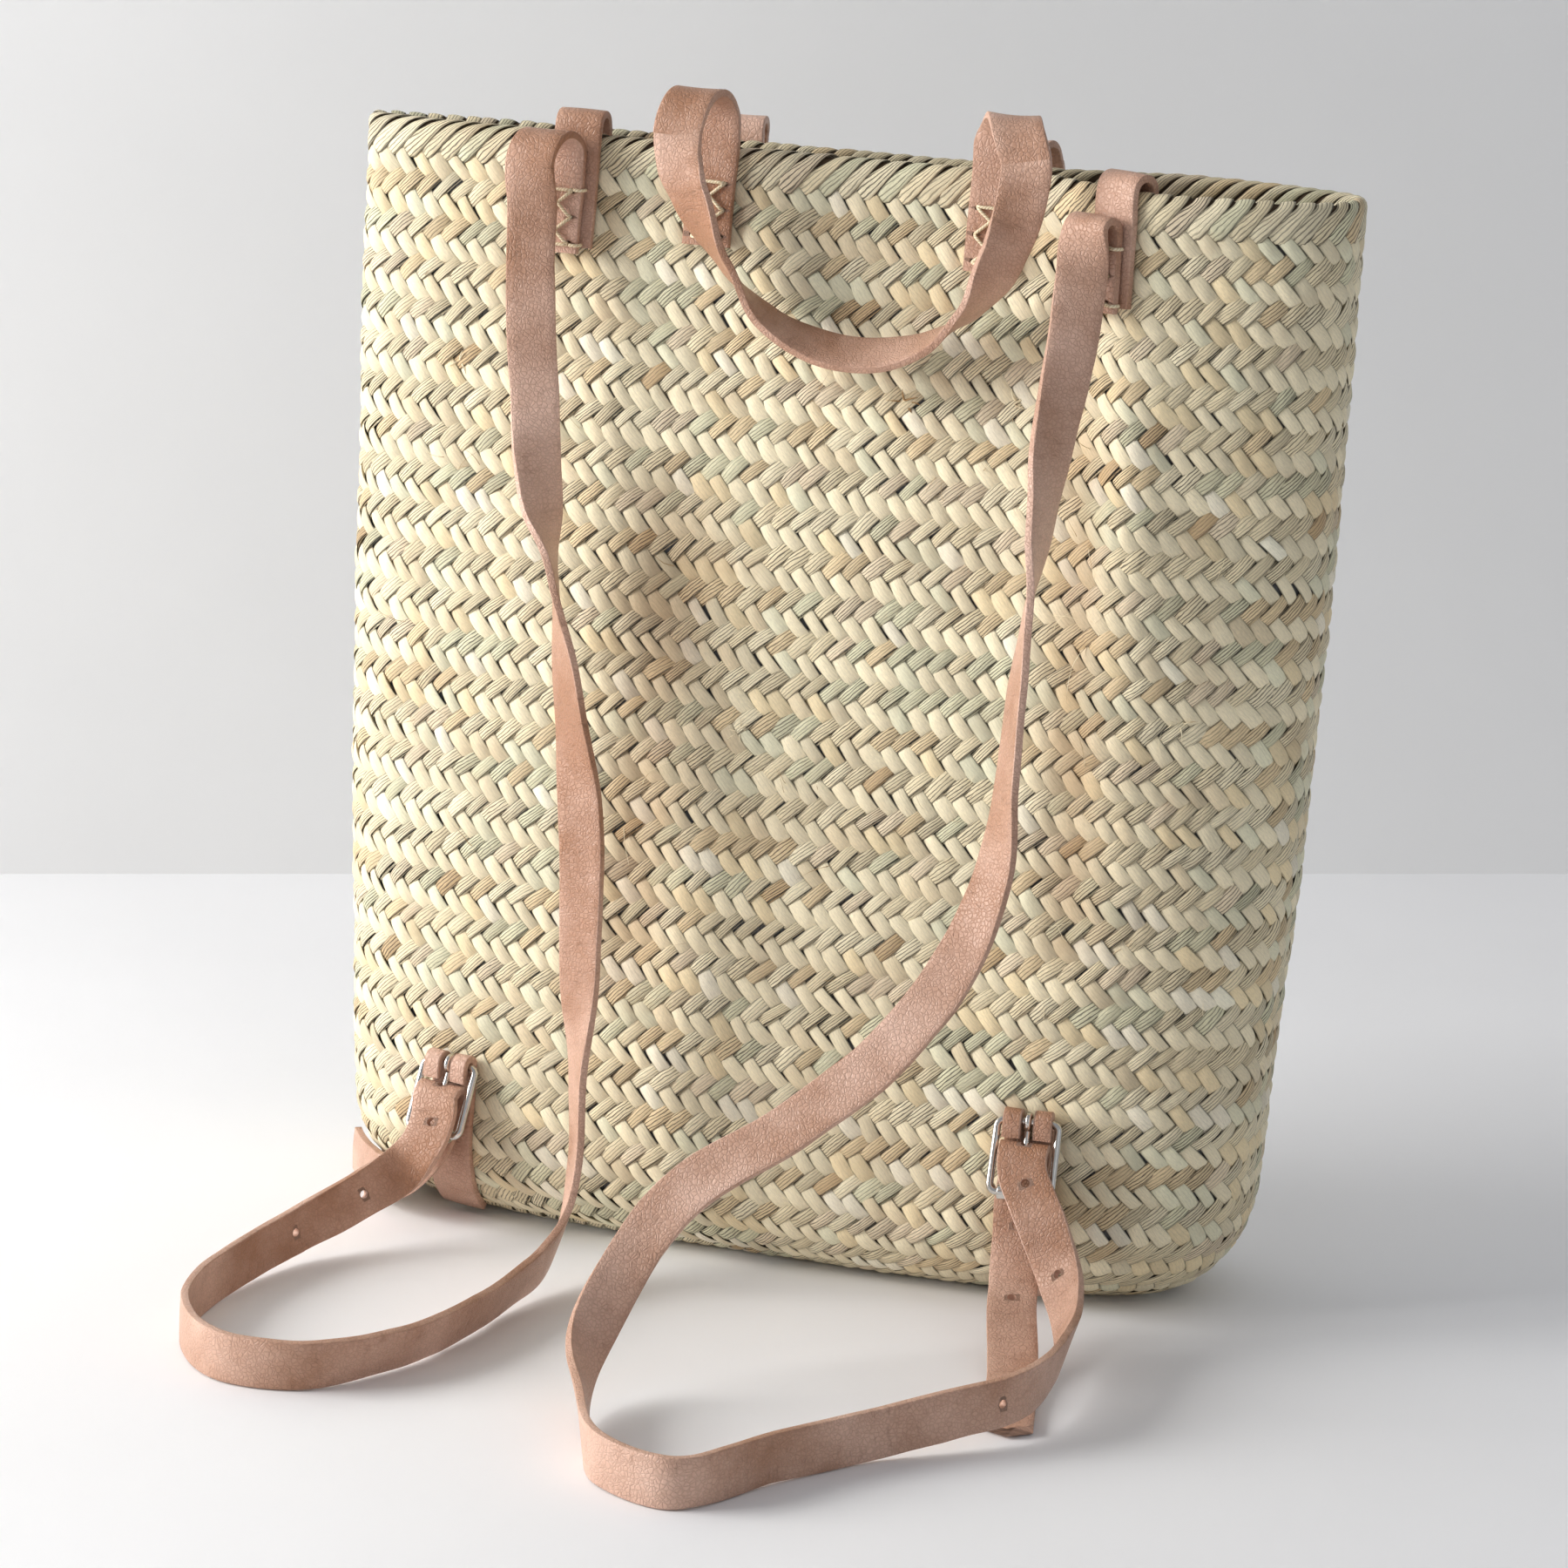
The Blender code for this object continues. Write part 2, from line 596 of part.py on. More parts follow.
def build_stitching(name, side, x, bottom, off, collection, thread):
    """One thread in a bar, two crosses and a bar on a sewn end."""
    half = STRAP_WIDTH / 2 - STITCH_INSET
    height = PATCH_LENGTH - 2 * STITCH_INSET
    low, middle, high = (bottom + STITCH_INSET + height * share for share in (0.0, 0.5, 1.0))
    lift = 0.65 * THREAD + LAYER_GAP
    over = lift + THREAD + LAYER_GAP
    bar = THREAD + LAYER_GAP
    path = (
        (-half, high + bar, lift),
        (half, high + bar, lift),
        (half, high, lift),
        (0, (high + middle) / 2, lift),
        (-half, middle, lift),
        (0, (middle + low) / 2, lift),
        (half, low, lift),
        (half, low - bar, lift),
        (-half, low - bar, lift),
        (-half, low + bar / 2, lift),
        (0, (middle + low) / 2, over),
        (half, middle, lift),
        (0, (high + middle) / 2, over),
        (-half, high - bar / 2, lift),
    )
    curve = bpy.data.curves.new(name, "CURVE")
    curve.dimensions = "3D"
    curve.bevel_depth = THREAD / 2
    curve.bevel_resolution = 0
    curve.use_fill_caps = True
    spline = curve.splines.new("POLY")
    spline.points.add(len(path) - 1)
    for point, (across, z, out) in zip(spline.points, path):
        place, width = wall_station(side, x, z, off + out)
        point.co = (*(place + width * across), 1)
    made = bpy.data.objects.new(name, curve)
    collection.objects.link(made)
    curve.materials.append(thread)


def build_rim_strap(name, x, slide, rise, collection, leather):
    """A short strap over the rim, down both sides of the wall, under a shoulder strap's end."""
    seat = RIM_BAND_PROUD + SEAT_GAP + LEATHER / 2
    inner_seat = -WALL - seat
    low = HEIGHT - RIM_STRAP_DROP
    high = HEIGHT - RIM_BAND_HEIGHT
    heights = [low + (high - low) * share for share in SEAT_SHARES]
    stations = [wall_station(-1, x, z, seat, slide) for z in heights]
    top_place, width = wall_station(-1, x, HEIGHT, seat, slide)
    inner_place, _ = wall_station(-1, x, HEIGHT, inner_seat, slide)
    centre = (top_place + inner_place) / 2 + Vector((0, 0, rise))
    arm = (top_place - inner_place) / 2
    for k in range(9):
        angle = math.pi * k / 8
        up = Vector((0, 0, arm.length * math.sin(angle)))
        stations.append((centre + arm * math.cos(angle) + up, width))
    stations += [wall_station(-1, x, z, inner_seat, slide) for z in reversed(heights)]
    build_strap(name, thinned(frames_along(smooth_route(stations, FINE_STEP))), collection, leather)


def buckle_seat(x, z):
    """The buckle's bar centre and its turn about Z, from the wall behind it."""
    yaw = wall_yaw(-1, x, z)
    return wall_station(-1, x, z, SEAT_GAP + LEATHER + RUNNING_GAP + WIRE_RADIUS)[0], yaw


def tilt_matrix(bar, yaw):
    """From buckle axes (along the bar, into the wall, up the frame) to the world."""
    return Matrix.Translation(bar) @ Matrix.Rotation(yaw, 4, "Z") @ Matrix.Rotation(-BUCKLE_TILT, 4, "X")


def buckle_place(matrix, across, out, down):
    """A world place from distances across, out and down the tilted frame."""
    return matrix @ Vector((across, -out, -down))


def hook_stations(side_name, matrix, middle_shares):
    """The strap through a buckle: up in front of the roller, over, and down behind it."""
    turn = matrix.to_3x3()

    def station(across, out, down, width):
        place = buckle_place(
            matrix, across * BUCKLE_HALF_WIDTH, out * HOOK_FOLD_RADIUS, down * BUCKLE_LENGTH
        )
        return place, turn @ Vector(width)

    front = [station(*HOOK_CUT_SHARES[side_name])]
    front += [station(*share) for share in reversed(middle_shares)]
    fold = []
    for k in range(9):
        angle = math.pi * k / 8
        out = HOOK_FOLD_RADIUS * math.cos(angle)
        down = HOOK_TOP + HOOK_FOLD_RADIUS * (1 - math.sin(angle))
        fold.append((buckle_place(matrix, 0, out, down), turn @ Vector((1, 0, 0))))
    across, out, down = HOOK_TAIL_SHARES[side_name]
    level = Vector((1, 0, 0))
    halfway = (1 + down) / 2 - HOOK_TOP / BUCKLE_LENGTH
    back = [station(across / 2, out, halfway, level), station(across, out, down, level)]
    return front, fold, back


def route_stations(shares, foot_x, foot_y, rise):
    """World stations from a table of shares, measured from a foot and above a strap lying on its edge."""
    lying = STRAP_WIDTH / 2 + GROUND_GAP
    stations = []
    for across, out, up, width in shares:
        place = Vector((foot_x + across * STRAP_REACH, foot_y - out * STRAP_REACH, lying + up * rise))
        stations.append((place, Vector(width)))
    return stations


def nearest_index(frames, place):
    """The index of the frame nearest a place."""
    return min(range(len(frames)), key=lambda i: (frames[i][0] - place).length)


def build_shoulder_strap(side_name, top, tables, matrix, collection, cutters, mats):
    """A shoulder strap in three stretches: down to the buckle, through it, and the tail beyond."""
    leather, steel = mats
    hang, ground, middle, tail = tables
    bar = matrix.translation
    x, fold_z, radius, shift = top
    seat = RIM_BAND_PROUD + SEAT_GAP + LEATHER + PATCH_LIFT + LEATHER / 2
    bottom = HEIGHT - STRAP_ROOT_DROP
    heights = [bottom + (fold_z - bottom) * share for share in SEAT_SHARES]
    stations = [wall_station(-1, x, z, seat) for z in heights]
    foot, width = stations[-1]
    outward = Vector((width.y, -width.x, 0))
    for k in range(1, 9):
        angle = math.pi * k / 8
        rise = Vector((shift * k / 8, 0, radius * math.sin(angle)))
        stations.append((foot + outward * (radius - radius * math.cos(angle)) + rise, width))
    front, fold, back = hook_stations(side_name, matrix, middle)
    stations += route_stations(hang, x, 0, HEIGHT) + route_stations(ground, bar.x, bar.y, STRAP_REACH)
    stations += front + fold + back + route_stations(tail, bar.x, bar.y, STRAP_REACH)
    frames = frames_along(smooth_route(stations, FINE_STEP))
    start = nearest_index(frames, front[0][0])
    end = nearest_index(frames, back[-1][0])
    run = frames[: start + 1]
    hook = frames[start : end + 1]
    loose = frames[end:]
    run[-1] = drawn_back(run[-1], -CUT_GAP)
    loose[0] = drawn_back(loose[0], CUT_GAP)

    strap = build_strap(f"{side_name}_shoulder_strap", thinned(run), collection, leather)
    for share in RUN_HOLE_SHARES:
        punch(strap, run[round(share * (len(run) - 1))], cutters, steel)
    bend = build_strap(f"{side_name}_strap_in_buckle", thinned(hook), collection, leather)
    apex = max(hook, key=lambda frame: (matrix.inverted() @ frame[0]).z)
    punch(bend, apex, cutters, steel, PRONG_HOLE_RADIUS, PRONG_HOLE_LENGTH - 2 * PRONG_HOLE_RADIUS)
    made = build_strap(f"{side_name}_strap_tail", thinned(loose), collection, leather, tip=True)
    for share in TAIL_HOLE_SHARES:
        punch(made, loose[round(share * (len(loose) - 1))], cutters, steel)


def build_tab(side_name, x, bar, yaw, collection, cutters, leather):
    """The tab from under the bottom edge, up the wall and round the buckle's bar, slotted for the prong."""
    seat = SEAT_GAP + LEATHER / 2
    outward = Vector((math.sin(yaw), -math.cos(yaw), 0))
    width = Vector((math.cos(yaw), math.sin(yaw), 0))
    stations = []
    for k in range(5):
        angle = TAB_START_TURN + (math.pi / 2 - TAB_START_TURN) * k / 4
        z = EDGE_RADIUS * (1 - math.cos(angle))
        wall, _ = wall_station(-1, x, z, 0)
        off = outward * (seat * math.sin(angle)) - Vector((0, 0, seat * math.cos(angle)))
        stations.append((wall + off, width))
    for share in (0.5, 0.92):
        z = EDGE_RADIUS + (bar.z - EDGE_RADIUS) * share
        stations.append((wall_station(-1, x, z, seat)[0], width))
    loop = WIRE_RADIUS + RUNNING_GAP + LEATHER / 2
    for k in range(9):
        angle = math.pi * k / 8
        place = bar - outward * (loop * math.cos(angle)) + Vector((0, 0, loop * math.sin(angle)))
        stations.append((place, width))
    stations.append((bar + outward * loop - Vector((0, 0, TAB_FRONT)), width))
    frames = thinned(frames_along(smooth_route(stations, FINE_STEP)))
    made = build_strap(f"{side_name}_buckle_tab", frames, collection, leather)
    bm = bmesh.new()
    bmesh.ops.create_cube(bm, size=1)
    depth = 2 * (loop + LEATHER)
    height = TAB_FRONT + CUT_OVERRUN + loop + LEATHER
    bmesh.ops.scale(bm, vec=(PRONG_SLOT, depth, height), verts=bm.verts)
    lift = height / 2 - TAB_FRONT - RUNNING_GAP
    bmesh.ops.translate(bm, vec=(0, 0, lift), verts=bm.verts)
    bmesh.ops.transform(bm, matrix=Matrix.Translation(bar) @ Matrix.Rotation(yaw, 4, "Z"), verts=bm.verts)
    cutter = mesh_object(f"{side_name}_tab_slot_cutter", bm, cutters, leather)
    cutter.hide_render = True
    cutter.display_type = "WIRE"
    cut = made.modifiers.new("slot", "BOOLEAN")
    cut.operation = "DIFFERENCE"
    cut.object = cutter


def build_buckle(side_name, matrix, collection, cutters, steel):
    """The wire frame, its roller and its prong, carried on one empty at the bar."""
    pivot = bpy.data.objects.new(f"{side_name}_buckle_bar", None)
    pivot.matrix_world = matrix
    collection.objects.link(pivot)

    curve = bpy.data.curves.new(f"{side_name}_buckle_frame", "CURVE")
    curve.dimensions = "3D"
    curve.bevel_depth = WIRE_RADIUS
    curve.bevel_resolution = 2
    spline = curve.splines.new("POLY")
    inner_x = BUCKLE_HALF_WIDTH - BUCKLE_CORNER
    corners = (
        (inner_x, -BUCKLE_CORNER, 0.0),
        (-inner_x, -BUCKLE_CORNER, math.pi / 2),
        (-inner_x, BUCKLE_CORNER - BUCKLE_LENGTH, math.pi),
        (inner_x, BUCKLE_CORNER - BUCKLE_LENGTH, 3 * math.pi / 2),
    )
    outline = []
    for cx, cz, start in corners:
        for k in range(4):
            angle = start + math.pi / 2 * k / 3
            outline.append((cx + BUCKLE_CORNER * math.cos(angle), 0, cz + BUCKLE_CORNER * math.sin(angle)))
    spline.points.add(len(outline) - 1)
    for point, place in zip(spline.points, outline):
        point.co = (*place, 1)
    spline.use_cyclic_u = True
    frame = bpy.data.objects.new(f"{side_name}_buckle_frame", curve)
    collection.objects.link(frame)
    curve.materials.append(steel)
    frame.parent = pivot

    bm = bmesh.new()
    profile = []
    bore = WIRE_RADIUS + RUNNING_GAP
    for radius, x in (
        (bore, -ROLLER_HALF_LENGTH),
        (bore, ROLLER_HALF_LENGTH),
        (ROLLER_RADIUS, ROLLER_HALF_LENGTH),
        (ROLLER_RADIUS, -ROLLER_HALF_LENGTH),
    ):
        profile.append(bm.verts.new((x, radius, 0)))
    edges = [bm.edges.new((profile[i], profile[(i + 1) % 4])) for i in range(4)]
    bmesh.ops.spin(
        bm, geom=profile + edges, cent=(0, 0, 0), axis=(1, 0, 0), angle=math.tau, steps=16, use_merge=True
    )
    bmesh.ops.recalc_face_normals(bm, faces=bm.faces)
    bmesh.ops.translate(bm, vec=(0, 0, -BUCKLE_LENGTH), verts=bm.verts)
    roller = mesh_object(f"{side_name}_buckle_roller", bm, collection, steel)
    roller.parent = pivot

    ring_radius = WIRE_RADIUS + RUNNING_GAP + PRONG_RADIUS
    ring = bpy.data.meshes.new(f"{side_name}_buckle_prong")
    bm = bmesh.new()
    section = bmesh.ops.create_circle(bm, segments=8, radius=PRONG_RADIUS)["verts"]
    bmesh.ops.translate(bm, vec=(0, ring_radius, 0), verts=section)
    bmesh.ops.spin(
        bm, geom=list(bm.verts) + list(bm.edges), cent=(0, 0, 0), axis=(1, 0, 0), angle=math.tau, steps=14,
        use_merge=True,
    )
    bmesh.ops.recalc_face_normals(bm, faces=bm.faces)
    bm.to_mesh(ring)
    bm.free()
    prong = bpy.data.objects.new(f"{side_name}_buckle_prong", ring)
    collection.objects.link(prong)
    ring.materials.append(steel)
    prong.parent = pivot
    bm = bmesh.new()
    start = ring_radius
    length = PRONG_LENGTH - start
    bmesh.ops.create_cone(
        bm, cap_ends=True, segments=8, radius1=PRONG_RADIUS * 0.75, radius2=PRONG_RADIUS, depth=length
    )
    bmesh.ops.translate(bm, vec=(0, 0, -start - length / 2), verts=bm.verts)
    tongue = mesh_object(f"{side_name}_tongue_helper", bm, cutters, steel)
    tongue.hide_render = True
    tongue.display_type = "WIRE"
    tongue.parent = pivot
    join = prong.modifiers.new("tongue", "BOOLEAN")
    join.operation = "UNION"
    join.object = tongue


def main():
    """Builds the whole basket."""
    clear_scene()
    collection = new_collection("pack_basket")
    cutters = new_collection("cutters", hidden=True)
    straw = new_material("palm_leaf", (0.66, 0.56, 0.37), 0.6)
    leather = new_material("natural_leather", (0.62, 0.39, 0.29), 0.65)
    thread = new_material("waxed_thread", (0.78, 0.68, 0.52), 0.7)
    steel = new_material("nickel_plate", (0.75, 0.74, 0.72), 0.22, metallic=1.0)

    build_base(collection, straw)
    build_bottom_edge(collection, straw)
    build_wall(collection, straw)
    build_rim(collection, straw)

    seat = SEAT_GAP + LEATHER + RIM_BAND_PROUD
    for name, side in (("near_handle", -1), ("far_handle", 1)):
        build_handle(name, side, collection, leather)
        for label, x in zip(("left", "right"), HANDLE_ROOTS):
            stitching = f"{name}_{label}_stitching"
            build_stitching(stitching, side, x, HEIGHT - HANDLE_ROOT_DROP, seat, collection, thread)
    rim_straps = (
        ("left_rim_strap", LEFT_ROOT_X, LEFT_RIM_STRAP_SLIDE, LEFT_RIM_STRAP_RISE),
        ("right_rim_strap", RIGHT_ROOT_X, RIGHT_RIM_STRAP_SLIDE, RIGHT_RIM_STRAP_RISE),
    )
    for name, x, slide, rise in rim_straps:
        build_rim_strap(name, x, slide, rise, collection, leather)

    left_top = (LEFT_ROOT_X, HEIGHT - LEFT_FOLD_DROP, LEFT_FOLD_RADIUS, LEFT_FOLD_SHIFT)
    right_top = (RIGHT_ROOT_X, HEIGHT - RIGHT_FOLD_DROP, RIGHT_FOLD_RADIUS, RIGHT_FOLD_SHIFT)
    left_buckle = (LEFT_BUCKLE_SHARE * BASE_HALF_WIDTH, LEFT_BUCKLE_HEIGHT)
    right_buckle = (RIGHT_BUCKLE_SHARE * BASE_HALF_WIDTH, RIGHT_BUCKLE_HEIGHT)
    left_tables = (LEFT_HANG_SHARES, LEFT_GROUND_SHARES, LEFT_HOOK_SHARES, LEFT_TAIL_SHARES)
    right_tables = (RIGHT_HANG_SHARES, RIGHT_GROUND_SHARES, RIGHT_HOOK_SHARES, RIGHT_TAIL_SHARES)
    sides = (
        ("left", left_top, left_buckle, left_tables),
        ("right", right_top, right_buckle, right_tables),
    )
    finishes = (leather, steel)
    patch_seat = seat + LEATHER + PATCH_LIFT
    for side_name, top, (buckle_x, buckle_z), tables in sides:
        bar, yaw = buckle_seat(buckle_x, buckle_z)
        matrix = tilt_matrix(bar, yaw)
        build_tab(side_name, buckle_x, bar, yaw, collection, cutters, leather)
        build_buckle(side_name, matrix, collection, cutters, steel)
        build_shoulder_strap(side_name, top, tables, matrix, collection, cutters, finishes)
        stitching = f"{side_name}_strap_stitching"
        build_stitching(stitching, -1, top[0], HEIGHT - STRAP_ROOT_DROP, patch_seat, collection, thread)


main()
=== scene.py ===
"""Woven palm-leaf pack basket with leather carry handles, shoulder straps and two roller buckles.

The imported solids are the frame. Each class dresses one sub-assembly around them: the twill of the body, the
wrapped rim, the straps and handles, the thread, the buckles and the studio. Lengths are metres, +Z is up,
+X runs along the width and -Y is the side with the shoulder straps.
"""

import logging
import math
from collections.abc import Callable, Sequence
from dataclasses import dataclass, field
from enum import Enum

import bmesh
import bpy
import numpy as np
from mathutils import Matrix, Vector


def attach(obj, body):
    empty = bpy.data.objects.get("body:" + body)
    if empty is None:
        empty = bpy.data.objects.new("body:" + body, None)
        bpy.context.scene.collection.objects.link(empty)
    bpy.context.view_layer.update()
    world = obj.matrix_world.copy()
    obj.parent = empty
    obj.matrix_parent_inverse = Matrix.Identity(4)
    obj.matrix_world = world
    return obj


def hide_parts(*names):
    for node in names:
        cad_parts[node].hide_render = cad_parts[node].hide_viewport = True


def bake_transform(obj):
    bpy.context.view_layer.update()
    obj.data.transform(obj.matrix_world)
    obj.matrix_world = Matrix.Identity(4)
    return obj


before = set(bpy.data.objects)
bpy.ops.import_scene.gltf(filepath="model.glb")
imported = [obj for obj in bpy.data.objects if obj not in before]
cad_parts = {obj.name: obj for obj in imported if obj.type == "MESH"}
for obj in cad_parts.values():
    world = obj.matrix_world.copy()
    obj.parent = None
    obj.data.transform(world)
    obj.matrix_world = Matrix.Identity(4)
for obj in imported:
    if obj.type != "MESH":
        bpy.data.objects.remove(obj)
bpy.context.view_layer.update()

LOG = logging.getLogger("pack_basket")
ROUTE_STEP = 0.001
WELD = 1e-6
PUNCH_SIDES = 20
HANDLE_SEED, STITCH_SEED, HANGING_SEED = 11, 21, 31
RIM_STRAP_SEED, TAB_SEED, PATCH_SEED = 41, 51, 61

Colour = tuple[float, float, float]
Station = tuple[Vector, Vector]
Shares = tuple[tuple[float, float, float, tuple[float, float, float]], ...]
Socket = bpy.types.NodeSocket


class Side(Enum):
    """The two broad walls of the basket, as the sign of their y."""

    NEAR = -1
    FAR = 1


class Zone(Enum):
    """The material slots of a strap: its grain side, its flesh side and its cut edge."""

    GRAIN = 0
    FLESH = 1
    EDGE = 2


def shown(red: float, green: float, blue: float) -> Colour:
    """A colour given as it looks on a display, as linear light."""
    return tuple(c / 12.92 if c <= 0.04045 else ((c + 0.055) / 1.055) ** 2.4 for c in (red, green, blue))


def eased(value: np.ndarray) -> np.ndarray:
    """0 below 0, 1 above 1 and a smooth rise between."""
    share = np.clip(value, 0.0, 1.0)
    return share * share * (3 - 2 * share)


def faded(colour: Colour, share: float) -> Colour:
    """A colour at a share of its strength."""
    return tuple(c * share for c in colour)


def turns(first: float, last: float, steps: int) -> list[float]:
    """Evenly spaced angles, both ends included."""
    return [first + (last - first) * k / steps for k in range(steps + 1)]


class FinishGraph:
    """One material's nodes, with short ways to add and join them.

    Args:
        name: The material's name.
    """

    def __init__(self, name: str) -> None:
        self.material = bpy.data.materials.new(name)
        self.material.use_nodes = True
        self.tree = self.material.node_tree
        self.shader = self.tree.nodes["Principled BSDF"]

    def feed(self, socket: Socket, value: object) -> None:
        """Links another socket to this one, or sets its value."""
        if isinstance(value, bpy.types.NodeSocket):
            self.tree.links.new(value, socket)
        elif isinstance(value, tuple) and len(value) == 3 and socket.type == "RGBA":
            socket.default_value = (*value, 1.0)
        else:
            socket.default_value = value

    def add(self, kind: str, sockets: dict[int | str, object], **settings: object) -> bpy.types.Node:
        """A new node with these settings and inputs."""
        node = self.tree.nodes.new(kind)
        for name, value in settings.items():
            setattr(node, name, value)
        for key, value in sockets.items():
            self.feed(node.inputs[key], value)
        return node

    def sum(self, operation: str, first: object, second: object = 0.0) -> Socket:
        """The result of a Math node."""
        return self.add("ShaderNodeMath", {0: first, 1: second}, operation=operation).outputs[0]

    def times(self, first: object, second: object) -> Socket:
        """One value times another."""
        return self.sum("MULTIPLY", first, second)

    def plus(self, first: object, second: object) -> Socket:
        """Two values added."""
        return self.sum("ADD", first, second)

    def mixed(self, share: object, first: object, second: object, blend: str = "MIX") -> Socket:
        """Two colours mixed."""
        node = self.add("ShaderNodeMix", {0: share, 6: first, 7: second}, data_type="RGBA", blend_type=blend)
        return node.outputs[2]

    def noise(self, vector: Socket, scale: float, detail: float = 3.0, rough: float = 0.55) -> Socket:
        """A Noise texture's factor."""
        sockets = {"Vector": vector, "Scale": scale, "Detail": detail, "Roughness": rough}
        return self.add("ShaderNodeTexNoise", sockets).outputs["Fac"]

    def spread(
        self, value: Socket, low: float, high: float, to_low: float = 0.0, to_high: float = 1.0
    ) -> Socket:
        """A value moved from one range to another, held at its ends."""
        sockets = {"Value": value, "From Min": low, "From Max": high, "To Min": to_low, "To Max": to_high}
        return self.add("ShaderNodeMapRange", sockets, clamp=True).outputs[0]

    def vector(self, x: object, y: object, z: object) -> Socket:
        """Three values as one vector."""
        return self.add("ShaderNodeCombineXYZ", {0: x, 1: y, 2: z}).outputs[0]

    def parts(self, vector: Socket) -> Sequence[Socket]:
        """A vector's three values."""
        return self.add("ShaderNodeSeparateXYZ", {0: vector}).outputs

    def object_place(self) -> Socket:
        """Object coordinates."""
        return self.add("ShaderNodeTexCoord", {}).outputs["Object"]

    def attribute(self, name: str) -> bpy.types.Node:
        """A value that the mesh holds."""
        return self.add("ShaderNodeAttribute", {}, attribute_name=name)

    def uv(self, name: str) -> Socket:
        """A named UV map."""
        return self.add("ShaderNodeUVMap", {}, uv_map=name).outputs[0]

    def bumped(self, height: Socket, strength: float, distance: float) -> Socket:
        """A surface direction roughened by a height."""
        sockets = {"Height": height, "Strength": strength, "Distance": distance}
        return self.add("ShaderNodeBump", sockets).outputs[0]

    def finished(self, **sockets: object) -> bpy.types.Material:
        """Feeds the shader's inputs, named with underscores for spaces, and returns the material."""
        for name, value in sockets.items():
            self.feed(self.shader.inputs[name.replace("_", " ")], value)
        return self.material


@dataclass(frozen=True)
class LeafFinish:
    """Dried palm leaf: one tint a leaf, fibres along it, and ribs where the leaf lies folded, with painted
    shade in the rib grooves and along the leaf's edges.
    """

    name: str
    fibre_contrast: float = 0.17
    # How much painted shade darkens the grooves of the ribs.
    rib_shade: float = 0.80
    # How much painted shade darkens the leaf's edges, where shade falls between the leaves.
    edge_shade: float = 0.72
    ribs: float = 15.0
    stain: Colour = shown(0.62, 0.47, 0.31)
    roughness: float = 0.46
    seed_spread: float = 61.0
    fibres: float = 7.0
    rib_wander: float = 7.0
    blotch_scale: float = 34.0
    relief: float = 0.0004

    def material(self) -> bpy.types.Material:
        """The finish, read from the leaf's own map and its tint."""
        graph = FinishGraph(self.name)
        across, along, _ = graph.parts(graph.uv("leaf_map"))
        tint = graph.attribute("leaf_tint")
        ribbed = graph.attribute("leaf_rib").outputs["Fac"]
        seed = graph.times(tint.outputs["Alpha"], self.seed_spread)
        fibre = graph.noise(graph.vector(graph.times(across, self.fibres), along, seed), 1.6, 4.0, 0.62)
        bent = graph.noise(graph.vector(across, graph.times(along, 0.35), seed), 1.4, 2.0, 0.5)
        turn = graph.plus(graph.times(across, self.ribs), graph.times(bent, self.rib_wander))
        fold = graph.sum("SINE", graph.plus(turn, seed))
        # line marks the grooves of a folded leaf's ribs. Below, the colour is darkened there as painted
        # shade.
        line = graph.times(graph.spread(fold, -0.98, -0.35, 1.0, 0.0), ribbed)
        # rim marks the leaf's edges. Below, the colour is darkened there as painted shade between the leaves.
        rim = graph.spread(graph.sum("ABSOLUTE", across), 0.82, 1.0)
        cloud = graph.noise(graph.object_place(), self.blotch_scale, 4.0, 0.6)
        blotch = graph.spread(cloud, 0.56, 0.74, 0.0, 0.5)
        light = graph.spread(fibre, 0.3, 0.7, 1.0 - self.fibre_contrast, 1.0 + self.fibre_contrast * 0.4)
        light = graph.times(light, graph.spread(line, 0.0, 1.0, 1.0, 1.0 - self.rib_shade))
        light = graph.times(light, graph.spread(rim, 0.0, 1.0, 1.0, 1.0 - self.edge_shade))
        colour = graph.mixed(1.0, tint.outputs["Color"], graph.vector(light, light, light), "MULTIPLY")
        colour = graph.mixed(graph.times(blotch, fibre), colour, self.stain)
        height = graph.sum("SUBTRACT", graph.times(fibre, 0.5), graph.times(line, 1.3))
        return graph.finished(
            Base_Color=colour,
            Roughness=graph.spread(fibre, 0.3, 0.7, self.roughness, self.roughness + 0.2),
            Normal=graph.bumped(height, 0.7, self.relief),
            Specular_IOR_Level=0.4,
        )


@dataclass(frozen=True)
class ShadowedLeafFinish:
    """The braid's inner layers, seen only through the gaps between the leaves, darkened as painted shade."""

    name: str = "shadowed_leaf"
    dark: Colour = shown(0.19, 0.13, 0.07)
    pale: Colour = shown(0.33, 0.25, 0.15)
    grain_scale: float = 260.0
    relief: float = 0.0004

    def material(self) -> bpy.types.Material:
        """The finish, on object coordinates."""
        graph = FinishGraph(self.name)
        grain = graph.noise(graph.object_place(), self.grain_scale, 3.0)
        return graph.finished(
            Base_Color=graph.mixed(grain, self.dark, self.pale),
            Roughness=0.8,
            Normal=graph.bumped(grain, 0.5, self.relief),
        )


@dataclass(frozen=True)
class StrawFinish:
    """The dry straw colour of single fibres and torn leaf ends."""

    name: str = "loose_straw"
    pale: Colour = shown(0.95, 0.90, 0.77)
    deep: Colour = shown(0.66, 0.52, 0.34)
    patch_scale: float = 70.0
    grain_scale: float = 2200.0
    relief: float = 0.0001

    def material(self) -> bpy.types.Material:
        """The finish, on object coordinates."""
        graph = FinishGraph(self.name)
        patch = graph.noise(graph.object_place(), self.patch_scale, 2.0)
        grain = graph.noise(graph.object_place(), self.grain_scale, 3.0, 0.7)
        return graph.finished(
            Base_Color=graph.mixed(graph.spread(patch, 0.45, 0.60), self.pale, self.deep),
            Roughness=graph.spread(grain, 0.3, 0.7, 0.5, 0.7),
            Normal=graph.bumped(grain, 0.4, self.relief),
        )


